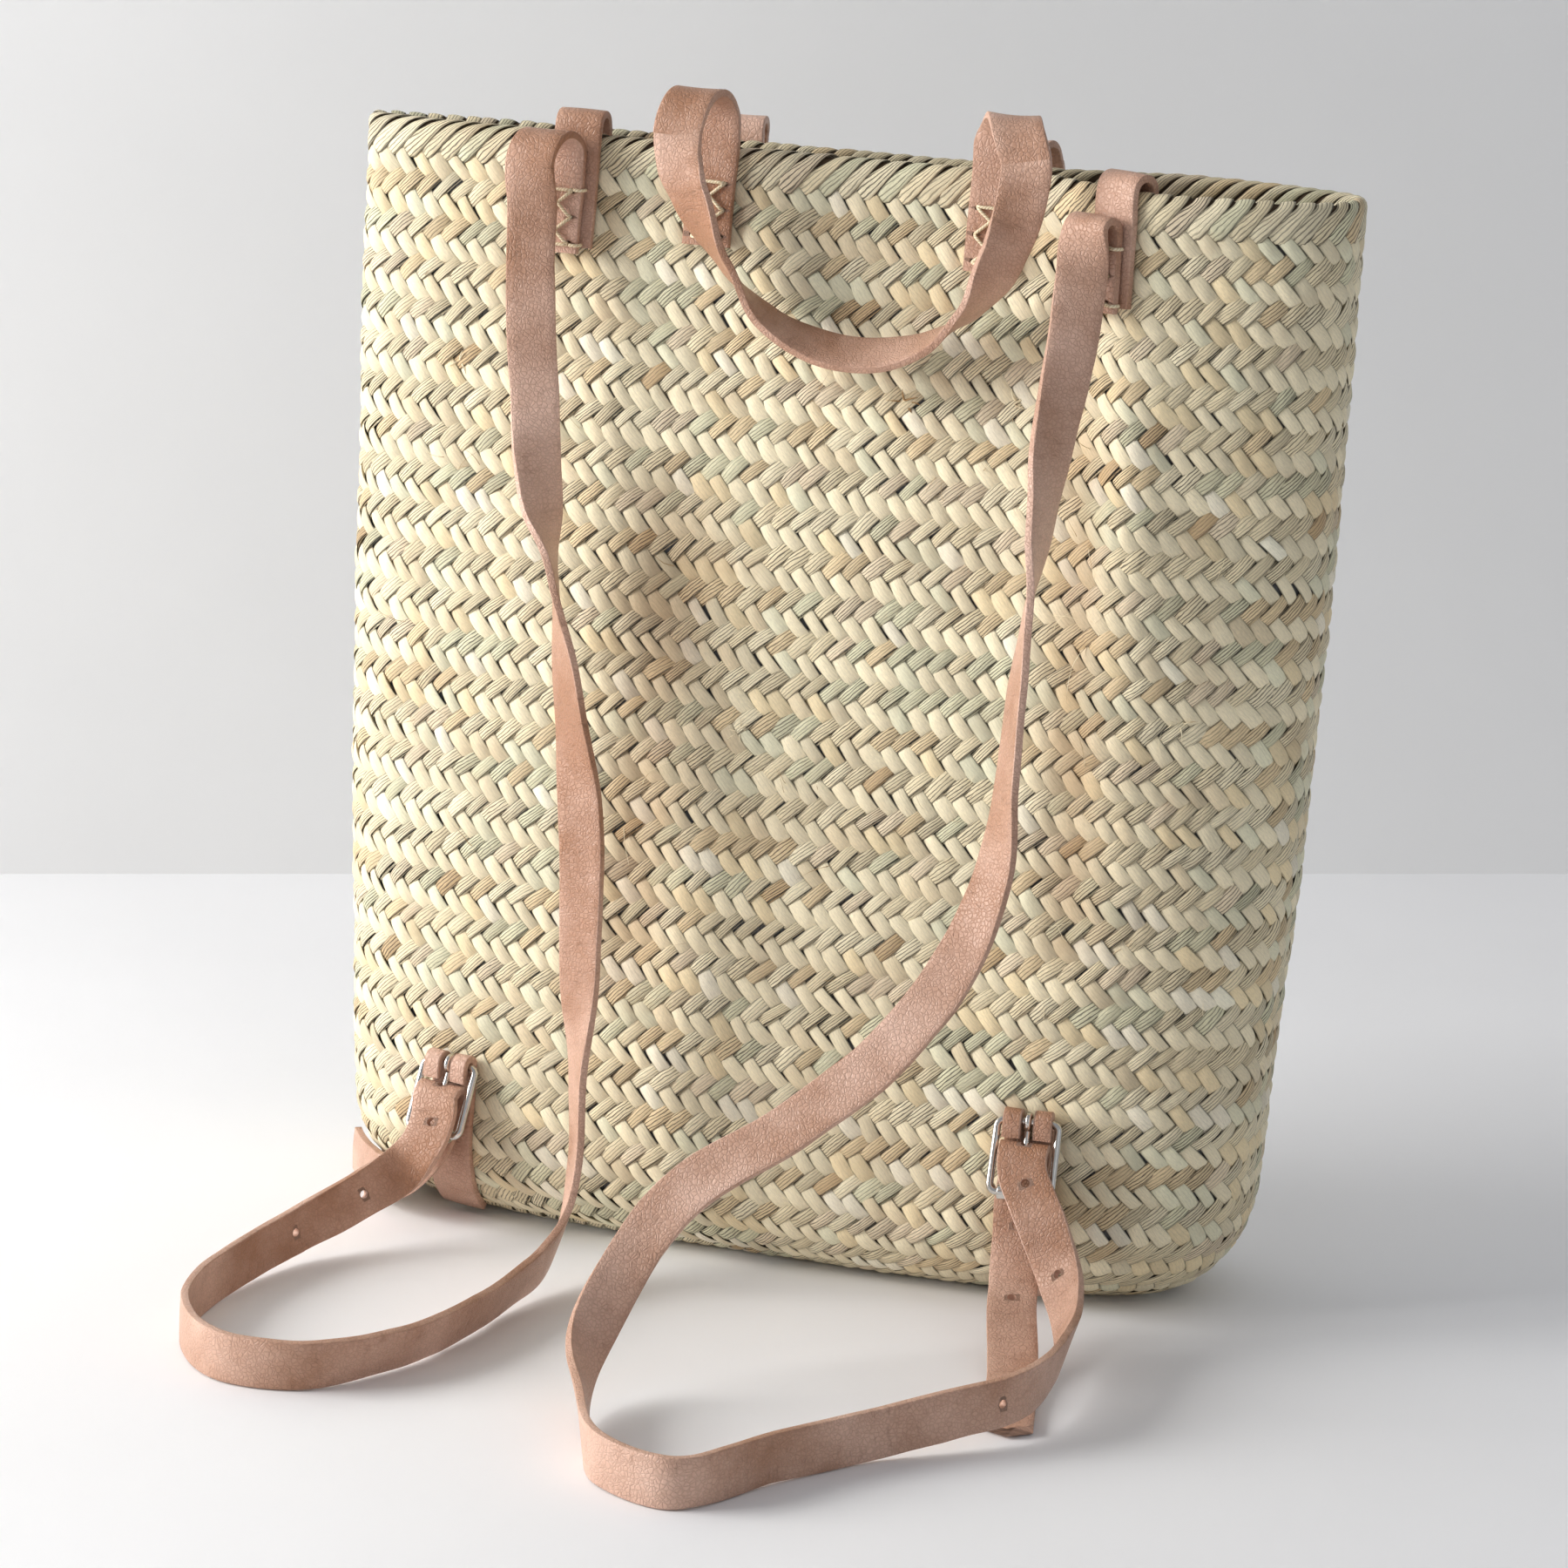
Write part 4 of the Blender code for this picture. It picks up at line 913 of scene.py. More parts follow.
@dataclass
class WovenBody:
    """The braid that is sewn round and up into the basket: the flat base, the bottom edge and six courses.

    Each calm pair is a height and the length over which the hand-made wander grows from it.
    """

    form: BasketForm = field(default_factory=BasketForm)
    twill: Twill = field(default_factory=Twill)
    start: float = 0.012
    course_rows: int = 4
    courses: int = 6
    mouth_gap: float = 0.004
    hollow_depth: float = 0.0030
    wander: float = 0.0007
    calm_foot: tuple[float, float] = (0.02, 0.05)
    calm_mouth: tuple[float, float] = (0.425, 0.06)
    floor_gap: float = 0.0002
    core_faces: tuple[float, float] = (-0.0021, -0.0029)
    core_lap: float = 0.003
    # The core's dark grey tint is painted shade between the leaves.
    shade_core_tint: float = 0.2
    # Browning of the hollows: partly a stain, partly painted shade of the sagged wall.
    hollow_brown: float = 0.45
    patch_brown: float = 0.10
    # The brown that the hollows take (stain and painted shade) and that the random patches take (stain).
    stain_and_shade: Colour = shown(0.66, 0.50, 0.33)
    base_size: tuple[int, int] = (4, 40)
    base_shift: float = 0.009
    base_level: float = 0.0009
    base_lap: float = 0.006
    base_seed: int = 3
    course_seed: int = 40
    hollows: tuple[Hollow, ...] = (
        Hollow(-0.057, 0.085, 0.330, 0.019, 0.03),
        Hollow(0.112, 0.120, 0.375, 0.014, -0.07),
    )

    def section(self) -> np.ndarray:
        """Heights and insets from the base's flat, round the bottom edge and up the wall."""
        radius = self.form.edge_radius
        flat = [(0.0, radius + self.start - 0.002 * k) for k in range(6)]
        turns = np.linspace(0, math.pi / 2, 33)
        edge = [(radius * (1 - math.cos(t)), radius * (1 - math.sin(t))) for t in turns]
        wall = [(z, 0.0) for z in np.linspace(radius, self.form.height - self.mouth_gap, 180)[1:]]
        return np.array(flat + edge + wall)

    def hollow(self, places: np.ndarray) -> np.ndarray:
        """How deep the two sagged hollows of the near wall are at each place, from 0 to 1."""
        x, y, z = places.T
        depth = sum(hollow.depth(x, z) for hollow in self.hollows)
        return np.where(y < 0, np.clip(depth, 0, 1), 0.0)

    def settle(self, places: np.ndarray, outward: np.ndarray, height: np.ndarray) -> np.ndarray:
        """World places of corners at a height above the wall, with the hand-made wander and hollows."""
        x, y, z = places.T
        wave = np.sin(x * 41 + z * 23) + np.sin(x * 17 - z * 57 + 1.3) + np.sin(y * 73 + z * 39 + 0.4)
        (low, low_ease), (high, high_ease) = self.calm_foot, self.calm_mouth
        calm = eased((z - low) / low_ease) * eased((high - z) / high_ease)
        sunk = self.wander * wave / 3 * calm - self.hollow_depth * self.hollow(places)
        world = places + outward * (height + sunk)[:, None]
        world[:, 2] = np.maximum(world[:, 2], self.floor_gap)
        return world

    def core(self, chart: SurfaceChart, name: str, low: float, high: float) -> bpy.types.Object:
        """The dark ring between the two faces of a course, which closes the gaps between its leaves; its
        darkness is painted shade seen through those gaps.
        """

        def placed(around: np.ndarray, turn: np.ndarray) -> np.ndarray:
            """Up the ring's outer face and down its inner face."""
            places, outward = chart.at(around, low + (high - low) * (1 - np.abs(2 * turn - 1)))
            return self.settle(places, outward, np.where(turn < 0.5, *self.core_faces))

        bm = closed_ring(216, 16, placed)
        bmesh.ops.recalc_face_normals(bm, faces=bm.faces)
        # Slot 1 is the shadowed leaf finish: painted shade in the gaps between the leaves.
        for face in bm.faces:
            face.material_index = 1
        piece = new_piece(name, bm)
        count = len(piece.data.vertices)
        tinted(piece, np.full((count, 3), self.shade_core_tint), np.zeros(count), np.zeros(count))
        piece.data.uv_layers.new(name="leaf_map")
        return piece

    def woven(self, chart: SurfaceChart, name: str, first: int, seed: int) -> bpy.types.Object:
        """One course of braid with its dark core of painted shade.

        Args:
            chart: The wall's chart.
            name: The piece's name.
            first: The number of its first row in the whole braid.
            seed: The start of its chance numbers.

        Returns:
            The new piece.
        """
        twill = self.twill
        rng = np.random.default_rng(seed)
        piece = repeated(name, twill.cell(), twill.columns, self.course_rows)
        lay = twill.laid(corner_places(piece), self.course_rows, twill.columns, first, rng)
        around = lay["round"] / (twill.pitch * twill.columns)
        places, outward = chart.at(around, self.start + lay["up"])
        move_corners(piece, self.settle(places, outward, lay["height"]))
        # The hollows are browned partly as a stain and partly as painted shade of the sagged wall; the
        # patches are a stain.
        brown = self.hollow(places)[:, None] * self.hollow_brown
        x, _, z = places.T
        patch = np.sin(x * 31 + z * 67 + 2.0) * np.sin(z * 41 - x * 13)
        stain_and_shade = brown + self.patch_brown * np.clip(patch, 0, 1)[:, None]
        tint = lay["tint"] * (1 - stain_and_shade) + np.array(self.stain_and_shade) * stain_and_shade
        tinted(piece, tint, lay["seed"], lay["ribbed"])
        reach = self.course_rows * twill.period
        low = self.start + first * twill.period
        core = self.core(chart, name + "_core", low - self.core_lap, low + reach + self.core_lap)
        return joined(name, [piece, core])

    def base(self, seed: int) -> bpy.types.Object:
        """The straight length of braid in the middle of the underside."""
        rows, columns = self.base_size
        rng = np.random.default_rng(seed)
        piece = repeated("base_braid", self.twill.cell(), columns, rows)
        lay = self.twill.laid(corner_places(piece), rows, columns, 0, rng)
        x = lay["round"] - columns * self.twill.pitch / 2 - self.base_shift
        y = lay["up"] - rows * self.twill.period / 2
        z = np.maximum(self.base_level - lay["height"], self.floor_gap)
        move_corners(piece, np.column_stack([x, -y, z]))
        tinted(piece, lay["tint"], lay["seed"], lay["ribbed"])
        bm = bmesh.new()
        bm.from_mesh(piece.data)
        half_x = self.form.base_half_width - self.form.edge_radius + self.base_lap
        half_y = self.form.base_half_depth - self.form.edge_radius + self.base_lap

        def outside(face: bmesh.types.BMFace) -> bool:
            """Whether a face lies outside the oval that the bottom edge leaves open."""
            middle, power = face.calc_center_median(), self.form.plan_power
            return abs(middle.x / half_x) ** power + abs(middle.y / half_y) ** power > 1

        bmesh.ops.delete(bm, geom=[face for face in bm.faces if outside(face)], context="FACES")
        rims = [edge for edge in bm.edges if edge.is_boundary]
        bmesh.ops.holes_fill(bm, edges=rims, sides=0)
        bm.to_mesh(piece.data)
        bm.free()
        return piece

    def build(self, finishes: Sequence[bpy.types.Material]) -> None:
        """Weaves and dresses the base, the bottom edge and the wall."""
        chart = SurfaceChart(self.form, self.section())
        dressed(self.base(self.base_seed), finishes, "basket", ["base_coil"])
        for course in range(self.courses + 1):
            name = f"braid_course_{course}" if course else "braid_bottom_edge"
            node = f"wall_course_{course}" if course else "bottom_edge_course"
            piece = self.woven(chart, name, course * self.course_rows, self.course_seed + course)
            dressed(piece, finishes, "basket", [node])


@dataclass
class WrappedRim:
    """The mouth's edge: the braid's last ribbed leaves, carried on slanting over the top and down inside."""

    form: BasketForm = field(default_factory=BasketForm)
    twill: Twill = field(default_factory=Twill)
    first_row: int = 28
    foot: float = 0.4205
    inner_foot: float = 0.4215
    row_height: float = 0.42517
    breadth: float = 1.66
    slant: float = 1.02
    sunk: float = 0.0004
    top_radius: float = 0.0030
    crown: float = 0.42
    slope: float = 0.30
    proud: float = 0.12
    highest: float = 0.85
    tuck_depth: float = 1.7
    tuck_reach: float = 4.5
    leaf_thickness: float = 0.00035
    core_thickness: float = 0.0008
    core_sunk: float = 0.0006
    seed: int = 71
    tones: LeafTones = LeafTones(RIBBED_TONES.colours, (0.34, 0.20, 0.14, 0.06, 0.24, 0.02), 0.25)

    def section(self) -> np.ndarray:
        """Heights and insets up the outside, over the top and down the inside."""
        proud = self.form.rim_proud
        top = self.form.height - self.top_radius
        outside = [(z, self.sunk - proud) for z in np.linspace(self.foot, top, 14)]
        middle = self.form.wall / 2
        arm = middle + proud - self.sunk
        over = [
            (top + self.top_radius * math.sin(turn), middle - arm * math.cos(turn))
            for turn in np.linspace(0, math.pi, 13)[1:-1]
        ]
        inside = [(z, self.form.wall + proud - self.sunk) for z in np.linspace(top, self.inner_foot, 10)]
        return np.array(outside + over + inside)

    def strip(self) -> bpy.types.Object:
        """The repeated flat strips, whose corners hold (along, across)."""
        bm = bmesh.new()
        layer = bm.loops.layers.uv.new("leaf_map")
        bmesh.ops.create_grid(bm, x_segments=26, y_segments=5, size=1)
        for face in bm.faces:
            face.smooth = True
            for loop in face.loops:
                loop[layer].uv = (loop.vert.co.y, loop.vert.co.x * 7.0)
        return repeated("rim_leaves", bm, self.twill.columns)

    def build(self, finishes: Sequence[bpy.types.Material]) -> None:
        """Wraps and dresses the rim."""
        chart = SurfaceChart(self.form, self.section(), around=1440)
        rng = np.random.default_rng(self.seed)
        reach = chart.reach[-1]
        piece = self.strip()
        leaves = self.twill.columns
        along, across = corner_places(piece).T[:2]
        copy = np.repeat(np.arange(leaves), len(along) // leaves)
        chance = rng.standard_normal((5, leaves))[:, copy]
        up = (along + 1) / 2 * reach
        breadth = self.breadth * (1 + 0.10 * chance[0])
        over = up * 1000 - (self.row_height - self.foot) * 1000
        lean, cell = self.twill.lean, self.twill.cell_width
        risen = self.twill.cell_height * self.first_row + over
        x = cell * copy + over * (self.slant + 0.05 * chance[1]) + lean * risen
        x = x - 2.0 * across * breadth + 0.25 * chance[3]
        tuck = np.minimum(up, reach - up) * 1000
        climb = up + 0.0020 * across * breadth * eased(1.25 - up / 0.012)
        height = -self.slope * across + self.crown * (1 - np.abs(across) ** 2.2) + 0.10 * chance[2]
        height = height - self.tuck_depth * (1 - eased(tuck / self.tuck_reach)) + self.proud
        places, outward = chart.at(x / cell / leaves, climb)
        move_corners(piece, places + outward * (np.minimum(height, self.highest) / 1000)[:, None])
        tint = self.tones.drawn(rng, 1, leaves)[0][copy]
        ribs = (0.5 + 0.5 * rng.random(leaves))[copy]
        tinted(piece, tint, rng.random(leaves)[copy], ribs)
        thicken(piece, "leaf_thickness", self.leaf_thickness)
        dressed(piece, finishes, "basket", ["rim_wrap"])
        self.core(chart, finishes)

    def core(self, chart: SurfaceChart, finishes: Sequence[bpy.types.Material]) -> None:
        """The braid's edge inside the wrapping, a dark sheet whose colour is painted shade between its
        leaves.
        """

        def placed(around: np.ndarray, share: np.ndarray) -> np.ndarray:
            """A little under the wrapping, over the whole section."""
            places, outward = chart.at(around, share * chart.reach[-1])
            return places - outward * self.core_sunk

        piece = new_piece("rim_core", closed_ring(240, 16, placed))
        thicken(piece, "core_thickness", self.core_thickness)
        # finishes[1] is the shadowed leaf finish: painted shade between the wrapped leaves.
        dressed(piece, [finishes[1]], "basket")


@dataclass(frozen=True)
class StrapFrame:
    """One place on a strap: its middle, the way it runs, and the ways its width and grain face."""

    place: Vector
    tangent: Vector
    across: Vector
    grain: Vector


def even_route(stations: Sequence[Station], step: float = ROUTE_STEP) -> list[Station]:
    """Evenly stepped stations on a smooth curve.

    Args:
        stations: Places and width directions that the curve passes through.
        step: The distance from one new station to the next.

    Returns:
        The new stations.
    """
    places = [place for place, _ in stations]
    spans = [(after - before).length for before, after in zip(places, places[1:])]
    chords = [(after - before) / span for before, after, span in zip(places, places[1:], spans)]
    slopes = [
        (chords[i] * spans[i + 1] + chords[i + 1] * spans[i]) / (spans[i] + spans[i + 1])
        for i in range(len(chords) - 1)
    ]
    slopes = [2 * chords[0] - slopes[0], *slopes, 2 * chords[-1] - slopes[-1]]
    dense: list[Station] = []
    for i, span in enumerate(spans):
        parts = 4 * max(round(span / step), 1)
        for k in range(parts):
            t = k / parts
            rise = t * t * (3 - 2 * t)
            place = places[i].lerp(places[i + 1], rise)
            place = place + span * (t * (1 - t) ** 2 * slopes[i] - t * t * (1 - t) * slopes[i + 1])
            dense.append((place, stations[i][1].lerp(stations[i + 1][1], rise)))
    dense.append(stations[-1])
    table = np.array([[*place, *width] for place, width in dense])
    reach = np.concatenate([[0.0], np.cumsum(np.linalg.norm(np.diff(table[:, :3], axis=0), axis=1))])
    wanted = np.linspace(0.0, reach[-1], max(round(reach[-1] / step), 1) + 1)
    even = np.column_stack([np.interp(wanted, reach, column) for column in table.T])
    return [(Vector(row[:3]), Vector(row[3:])) for row in even]


def strap_frames(route: Sequence[Station], ease: int = 0) -> list[StrapFrame]:
    """The frames along an even route.

    Args:
        route: Evenly stepped stations.
        ease: How many stations before and after each one its width direction is evened out over.

    Returns:
        One frame for each station.
    """
    if ease:
        widths = [route[0][1]] * ease + [width for _, width in route] + [route[-1][1]] * ease
        route = [(p, sum(widths[i : i + 2 * ease + 1], Vector())) for i, (p, _) in enumerate(route)]
    frames = []
    places = [place for place, _ in route]
    last = len(places) - 1
    for i, (place, width) in enumerate(route):
        if i == 0:
            tangent = 4 * places[1] - 3 * places[0] - places[2]
        elif i == last:
            tangent = 3 * places[i] - 4 * places[i - 1] + places[i - 2]
        else:
            tangent = places[i + 1] - places[i - 1]
        tangent.normalize()
        across = (width - tangent * width.dot(tangent)).normalized()
        frames.append(StrapFrame(place, tangent, across, tangent.cross(across)))
    return frames


def facing_back(frames: Sequence[StrapFrame]) -> list[StrapFrame]:
    """The same frames from end to start, so that the other side of the strap is its grain."""
    return [StrapFrame(here.place, -here.tangent, here.across, -here.grain) for here in reversed(frames)]


def rolled_tube(
    bm: bmesh.types.BMesh, path: Sequence[Vector], radii: Sequence[float], sides: int = 8, ring: bool = False
) -> None:
    """Adds a round tube along a path to a mesh, closed at its ends or into a ring.

    Args:
        bm: The mesh that it is added to.
        path: The middle of the tube.
        radii: Its radius at each point of the path.
        sides: The number of faces round it.
        ring: Whether the path's end meets its start.
    """
    layer = bm.loops.layers.uv.get("strap_map") or bm.loops.layers.uv.new("strap_map")
    count = len(path)
    steps = count if ring else count - 1
    grid = bmesh.ops.create_grid(bm, x_segments=steps, y_segments=sides, size=1)["verts"]
    reach = [0.0]
    for before, after in zip(path, path[1:]):
        reach.append(reach[-1] + (after - before).length)
    reach.append(reach[-1] + (path[0] - path[-1]).length)
    for face in {face for vert in grid for face in vert.link_faces}:
        face.smooth = True
        for loop in face.loops:
            along = reach[round((loop.vert.co.x + 1) / 2 * steps)]
            loop[layer].uv = ((loop.vert.co.y + 1) / 2, along)
    normals: list[Vector] = []
    tangents: list[Vector] = []
    for i in range(count):
        before = path[i - 1] if i or ring else path[0]
        after = path[(i + 1) % count] if i < count - 1 or ring else path[-1]
        tangent = (after - before).normalized()
        if normals:
            normal = normals[-1] - tangent * normals[-1].dot(tangent)
        else:
            normal = tangent.orthogonal()
        normals.append(normal.normalized())
        tangents.append(tangent)
    for vert in grid:
        index = round((vert.co.x + 1) / 2 * steps) % count
        angle = math.pi * (vert.co.y + 1)
        side = tangents[index].cross(normals[index])
        off = normals[index] * math.cos(angle) + side * math.sin(angle)
        vert.co = path[index] + off * radii[index]
    bmesh.ops.remove_doubles(bm, verts=grid, dist=WELD)
    alive = [vert for vert in grid if vert.is_valid]
    rims = list({edge for vert in alive for edge in vert.link_edges if edge.is_boundary})
    if rims:
        bmesh.ops.holes_fill(bm, edges=rims, sides=0)
    faces = list({face for vert in alive for face in vert.link_faces})
    bmesh.ops.recalc_face_normals(bm, faces=faces)


@dataclass
class LeatherStrap:
    """A cut strap of natural leather, with its grain side, its flesh side and its rubbed edges.

    Sizes are in metres. Holes are given as the numbers of the frames that they pass through.
    """

    width: float = 0.019
    thick: float = 0.003
    corner: float = 0.0004
    tip: float = 0.007
    camber: float = 0.00022
    flat_parts: int = 6
    knot_step: float = 0.012
    knot_size: float = 0.00016
    flesh_shift: float = 0.05
    hole_radius: float = 0.0017
    punch_reach: float = 2.6
    seed: int = 1

    def section(self) -> list[tuple[float, float, Zone]]:
        """The strap's section as (across, out, side of the leather) corners, from its grain side round."""
        half, deep, corner = self.width / 2, self.thick / 2, self.corner
        flat, parts = self.width - 2 * corner, self.flat_parts
        points = [(half - corner - flat * k / parts, deep, Zone.GRAIN) for k in range(parts)]
        points += [(corner - half, deep, Zone.EDGE), (0.15 * corner - half, deep - 0.4 * corner, Zone.EDGE)]
        points += [(-half, deep - corner, Zone.EDGE), (-half, corner - deep, Zone.EDGE)]
        points += [(0.15 * corner - half, 0.4 * corner - deep, Zone.EDGE)]
        other = {Zone.GRAIN: Zone.FLESH, Zone.EDGE: Zone.EDGE}
        return points + [(-across, -out, other[zone]) for across, out, zone in points]

    def swept(
        self, name: str, frames: Sequence[StrapFrame], pointed: bool = False, start: float = 0.0
    ) -> bpy.types.Object:
        """Sweeps the section along frames.

        Args:
            name: The piece's name.
            frames: Where the strap runs.
            pointed: Whether its far end is cut to a point.
            start: The distance along the leather where this stretch begins, so that its grain runs on.

        Returns:
            The new piece.
        """
        section = self.section()
        steps, sides = len(frames) - 1, len(section)
        bm = bmesh.new()
        layer = bm.loops.layers.uv.new("strap_map")
        bmesh.ops.create_grid(bm, x_segments=steps, y_segments=sides, size=1)
        reach = [start]
        for before, after in zip(frames, frames[1:]):
            reach.append(reach[-1] + (after.place - before.place).length)
        for face in bm.faces:
            row = int((face.calc_center_median().y + 1) / 2 * sides)
            face.material_index = section[row][2].value
            face.smooth = True
            for loop in face.loops:
                corner = section[round((loop.vert.co.y + 1) / 2 * sides) % sides]
                along = reach[round((loop.vert.co.x + 1) / 2 * steps)]
                off = self.flesh_shift if section[row][2] is Zone.FLESH else corner[1]
                loop[layer].uv = (corner[0] + off, along)
        rng = np.random.default_rng(self.seed)
        knots = rng.standard_normal((2, int(reach[-1] / self.knot_step) + 4)) * self.knot_size
        for vert in bm.verts:
            index = round((vert.co.x + 1) / 2 * steps)
            across, out, _ = section[round((vert.co.y + 1) / 2 * sides) % sides]
            frame_here = frames[index]
            edge = across / (self.width / 2)
            along = reach[index] / self.knot_step
            wobble = np.interp(along, np.arange(knots.shape[1]), knots[0 if edge < 0 else 1]) * abs(edge) ** 3
            place = frame_here.place + frame_here.grain * (out - self.camber * (edge * edge - 0.4))
            back = 0.0
            if pointed:
                left = reach[-1] - reach[index]
                back = max(self.tip * abs(edge) - left, 0.0)
            vert.co = place + frame_here.across * (across + wobble) - frame_here.tangent * back
        bmesh.ops.remove_doubles(bm, verts=bm.verts, dist=2 * WELD)
        ends = [edge for edge in bm.edges if edge.is_boundary]
        for face in bmesh.ops.holes_fill(bm, edges=ends, sides=0)["faces"]:
            face.material_index = Zone.EDGE.value
            for edge in face.edges:
                edge.smooth = False
        bmesh.ops.recalc_face_normals(bm, faces=bm.faces)
        piece = new_piece(name, bm)
        seeds = piece.data.attributes.new("strap_seed", "FLOAT", "POINT")
        seeds.data.foreach_set("value", [float(self.seed) * 1.7] * len(piece.data.vertices))
        return piece

    def punched(
        self, piece: bpy.types.Object, holes: Sequence[tuple[StrapFrame, float, float]]
    ) -> bpy.types.Object:
        """Cuts holes and slots through a piece.

        Args:
            piece: The strap.
            holes: For each hole its frame, its radius and how far it is stretched along the strap.

        Returns:
            The same piece with the holes cut.
        """
        if not holes:
            return piece
        bm = bmesh.new()
        for hole, radius, stretch in holes:
            depth = self.thick * self.punch_reach
            made = bmesh.ops.create_cone(
                bm, cap_ends=True, segments=PUNCH_SIDES, radius1=radius, radius2=radius, depth=depth
            )["verts"]
            turn = Matrix((hole.tangent, hole.across, hole.grain)).transposed()
            half_side = Matrix.Rotation(math.pi / PUNCH_SIDES, 3, "Z")
            bmesh.ops.rotate(bm, cent=(0, 0, 0), matrix=half_side, verts=made)
            for vert in made:
                vert.co.x += math.copysign(stretch / 2, vert.co.x) if stretch else 0.0
            bmesh.ops.rotate(bm, cent=(0, 0, 0), matrix=turn, verts=made)
            bmesh.ops.translate(bm, vec=hole.place, verts=made)
        for face in bm.faces:
            face.material_index = Zone.EDGE.value
            face.smooth = False
        cutter = new_piece(piece.name + "_punch", bm)
        for mesh in (piece.data, cutter.data):
            for _ in Zone:
                mesh.materials.append(None)
        cut = piece.modifiers.new("punch", "BOOLEAN")
        cut.operation = "DIFFERENCE"
        cut.object = cutter
        cut.solver = "EXACT"
        remade(piece)
        bpy.data.objects.remove(cutter, do_unlink=True)
        return piece


@dataclass
class WallSeat:
    """Where leather lies on the wall."""

    form: BasketForm = field(default_factory=BasketForm)
    strap: LeatherStrap = field(default_factory=LeatherStrap)
    gap: float = 0.0009
    shares: tuple[float, ...] = (0.0, 0.33, 0.66, 0.94, 1.0)

    def yaw(self, side: Side, x: float, z: float) -> float:
        """The wall's turn about Z over the width of a strap."""
        half = self.strap.width / 2
        rise = self.form.wall_y(side, x + half, z) - self.form.wall_y(side, x - half, z)
        return math.atan2(rise, self.strap.width)

    def station(self, side: Side, x: float, z: float, off: float, slide: float = 0.0) -> Station:
        """A place whose whole strap's width clears the wall by a distance, and the width's direction."""
        yaw = self.yaw(side, x, z)
        outward = Vector((-math.sin(yaw), math.cos(yaw), 0)) * side.value
        width = Vector((math.cos(yaw), math.sin(yaw), 0))
        centre = Vector((x, self.form.wall_y(side, x, z), z))
        proud = 0.0
        for share in (-1.0, -0.5, 0.5, 1.0):
            near_x = x + (slide + share * self.strap.width / 2) * width.x
            point = Vector((near_x, self.form.wall_y(side, near_x, z), z))
            proud = max(proud, (point - centre).dot(outward))
        return centre + outward * (off + proud) + width * slide, width

    @property
    def leather_middle(self) -> float:
        """How far the middle of a strap on the rim stands from the wall."""
        return self.form.rim_proud + self.gap + self.strap.thick / 2


@dataclass
class SewnPatch:
    """The hand sewing on a strap's sewn end: a bar, two crosses and a bar, with the holes they go through."""

    seat: WallSeat = field(default_factory=WallSeat)
    length: float = 0.028
    inset: float = 0.0035
    thread: float = 0.00068
    seated: float = 0.7
    sunk: float = 0.0012
    rises: tuple[float, float] = (0.0006, 0.0011)
    slack: float = 0.0004
    steepness: float = 3.4
    stitch_parts: int = 12
    wrap_parts: int = 10
    wrap_depth: float = 0.0034
    awl_radius: float = 0.00085

    def build(
        self, name: str, side: Side, x: float, bottom: float, off: float, seed: int, wrap: float = 0.0
    ) -> bpy.types.Object:
        """Sews one patch.

        Args:
            name: The piece's name.
            side: The wall that it is on.
            x: The patch's middle.
            bottom: The height of its lower end.
            off: How far the leather's face stands from the wall.
            seed: The start of its chance numbers.
            wrap: How far the bars run on round the strap's edge.

        Returns:
            The thread as one piece.
        """
        rng = np.random.default_rng(seed)
        half = self.seat.strap.width / 2 - self.inset
        low, high = bottom + self.inset, bottom + self.length - self.inset
        middle = (low + high) / 2
        stitches = [(-half, high, half, high), (-half, low, half, low)]
        for foot, head in ((low, middle), (middle, high)):
            stitches += [(-half, foot, half, head), (half, foot, -half, head)]

        def on_leather(across: float, up: float, lift: float) -> Vector:
            """A place over the strap's end."""
            place, width = self.seat.station(side, x, up, off + self.thread * self.seated + lift)
            return place + width * across

        bm = bmesh.new()
        for number, (x0, z0, x1, z1) in enumerate(stitches):
            rise = self.rises[number % 2]
            bend = rng.uniform(-self.slack, self.slack)
            path = []
            for k in range(self.stitch_parts + 1):
                t = k / self.stitch_parts
                up = z0 + (z1 - z0) * t + bend * math.sin(math.pi * t)
                lift = -self.sunk + (rise + self.sunk) * min(1.0, self.steepness * math.sin(math.pi * t))
                path.append(on_leather(x0 + (x1 - x0) * t, up, lift))
            rolled_tube(bm, path, [self.thread] * len(path))
        for z in (low, high) if wrap else ():
            path = []
            for k in range(self.wrap_parts + 1):
                t = k / self.wrap_parts
                drop = self.wrap_depth * eased(np.array((t - 0.55) / 0.45)).item()
                lift = self.rises[0] - 0.0018 * max(0.0, 1 - 6 * t) - drop
                path.append(on_leather(half + wrap * min(t / 0.75, 1.0), z, lift))
            rolled_tube(bm, path, [self.thread] * len(path))
        return new_piece(name, bm)

    def holes(self, frames: Sequence[StrapFrame]) -> list[tuple[StrapFrame, float, float]]:
        """What the punch needs for the awl holes at both ends of each stitch, on a strap's frames."""
        found = []
        half = self.seat.strap.width / 2 - self.inset
        for row in (self.inset, self.length / 2, self.length - self.inset):
            here = frames[round(row / ROUTE_STEP)]
            for sign in (-1, 1):
                place = here.place + here.across * (half * sign)
                awl_hole = StrapFrame(place, here.tangent, here.across, here.grain)
                found.append((awl_hole, self.awl_radius, 0.0))
        return found


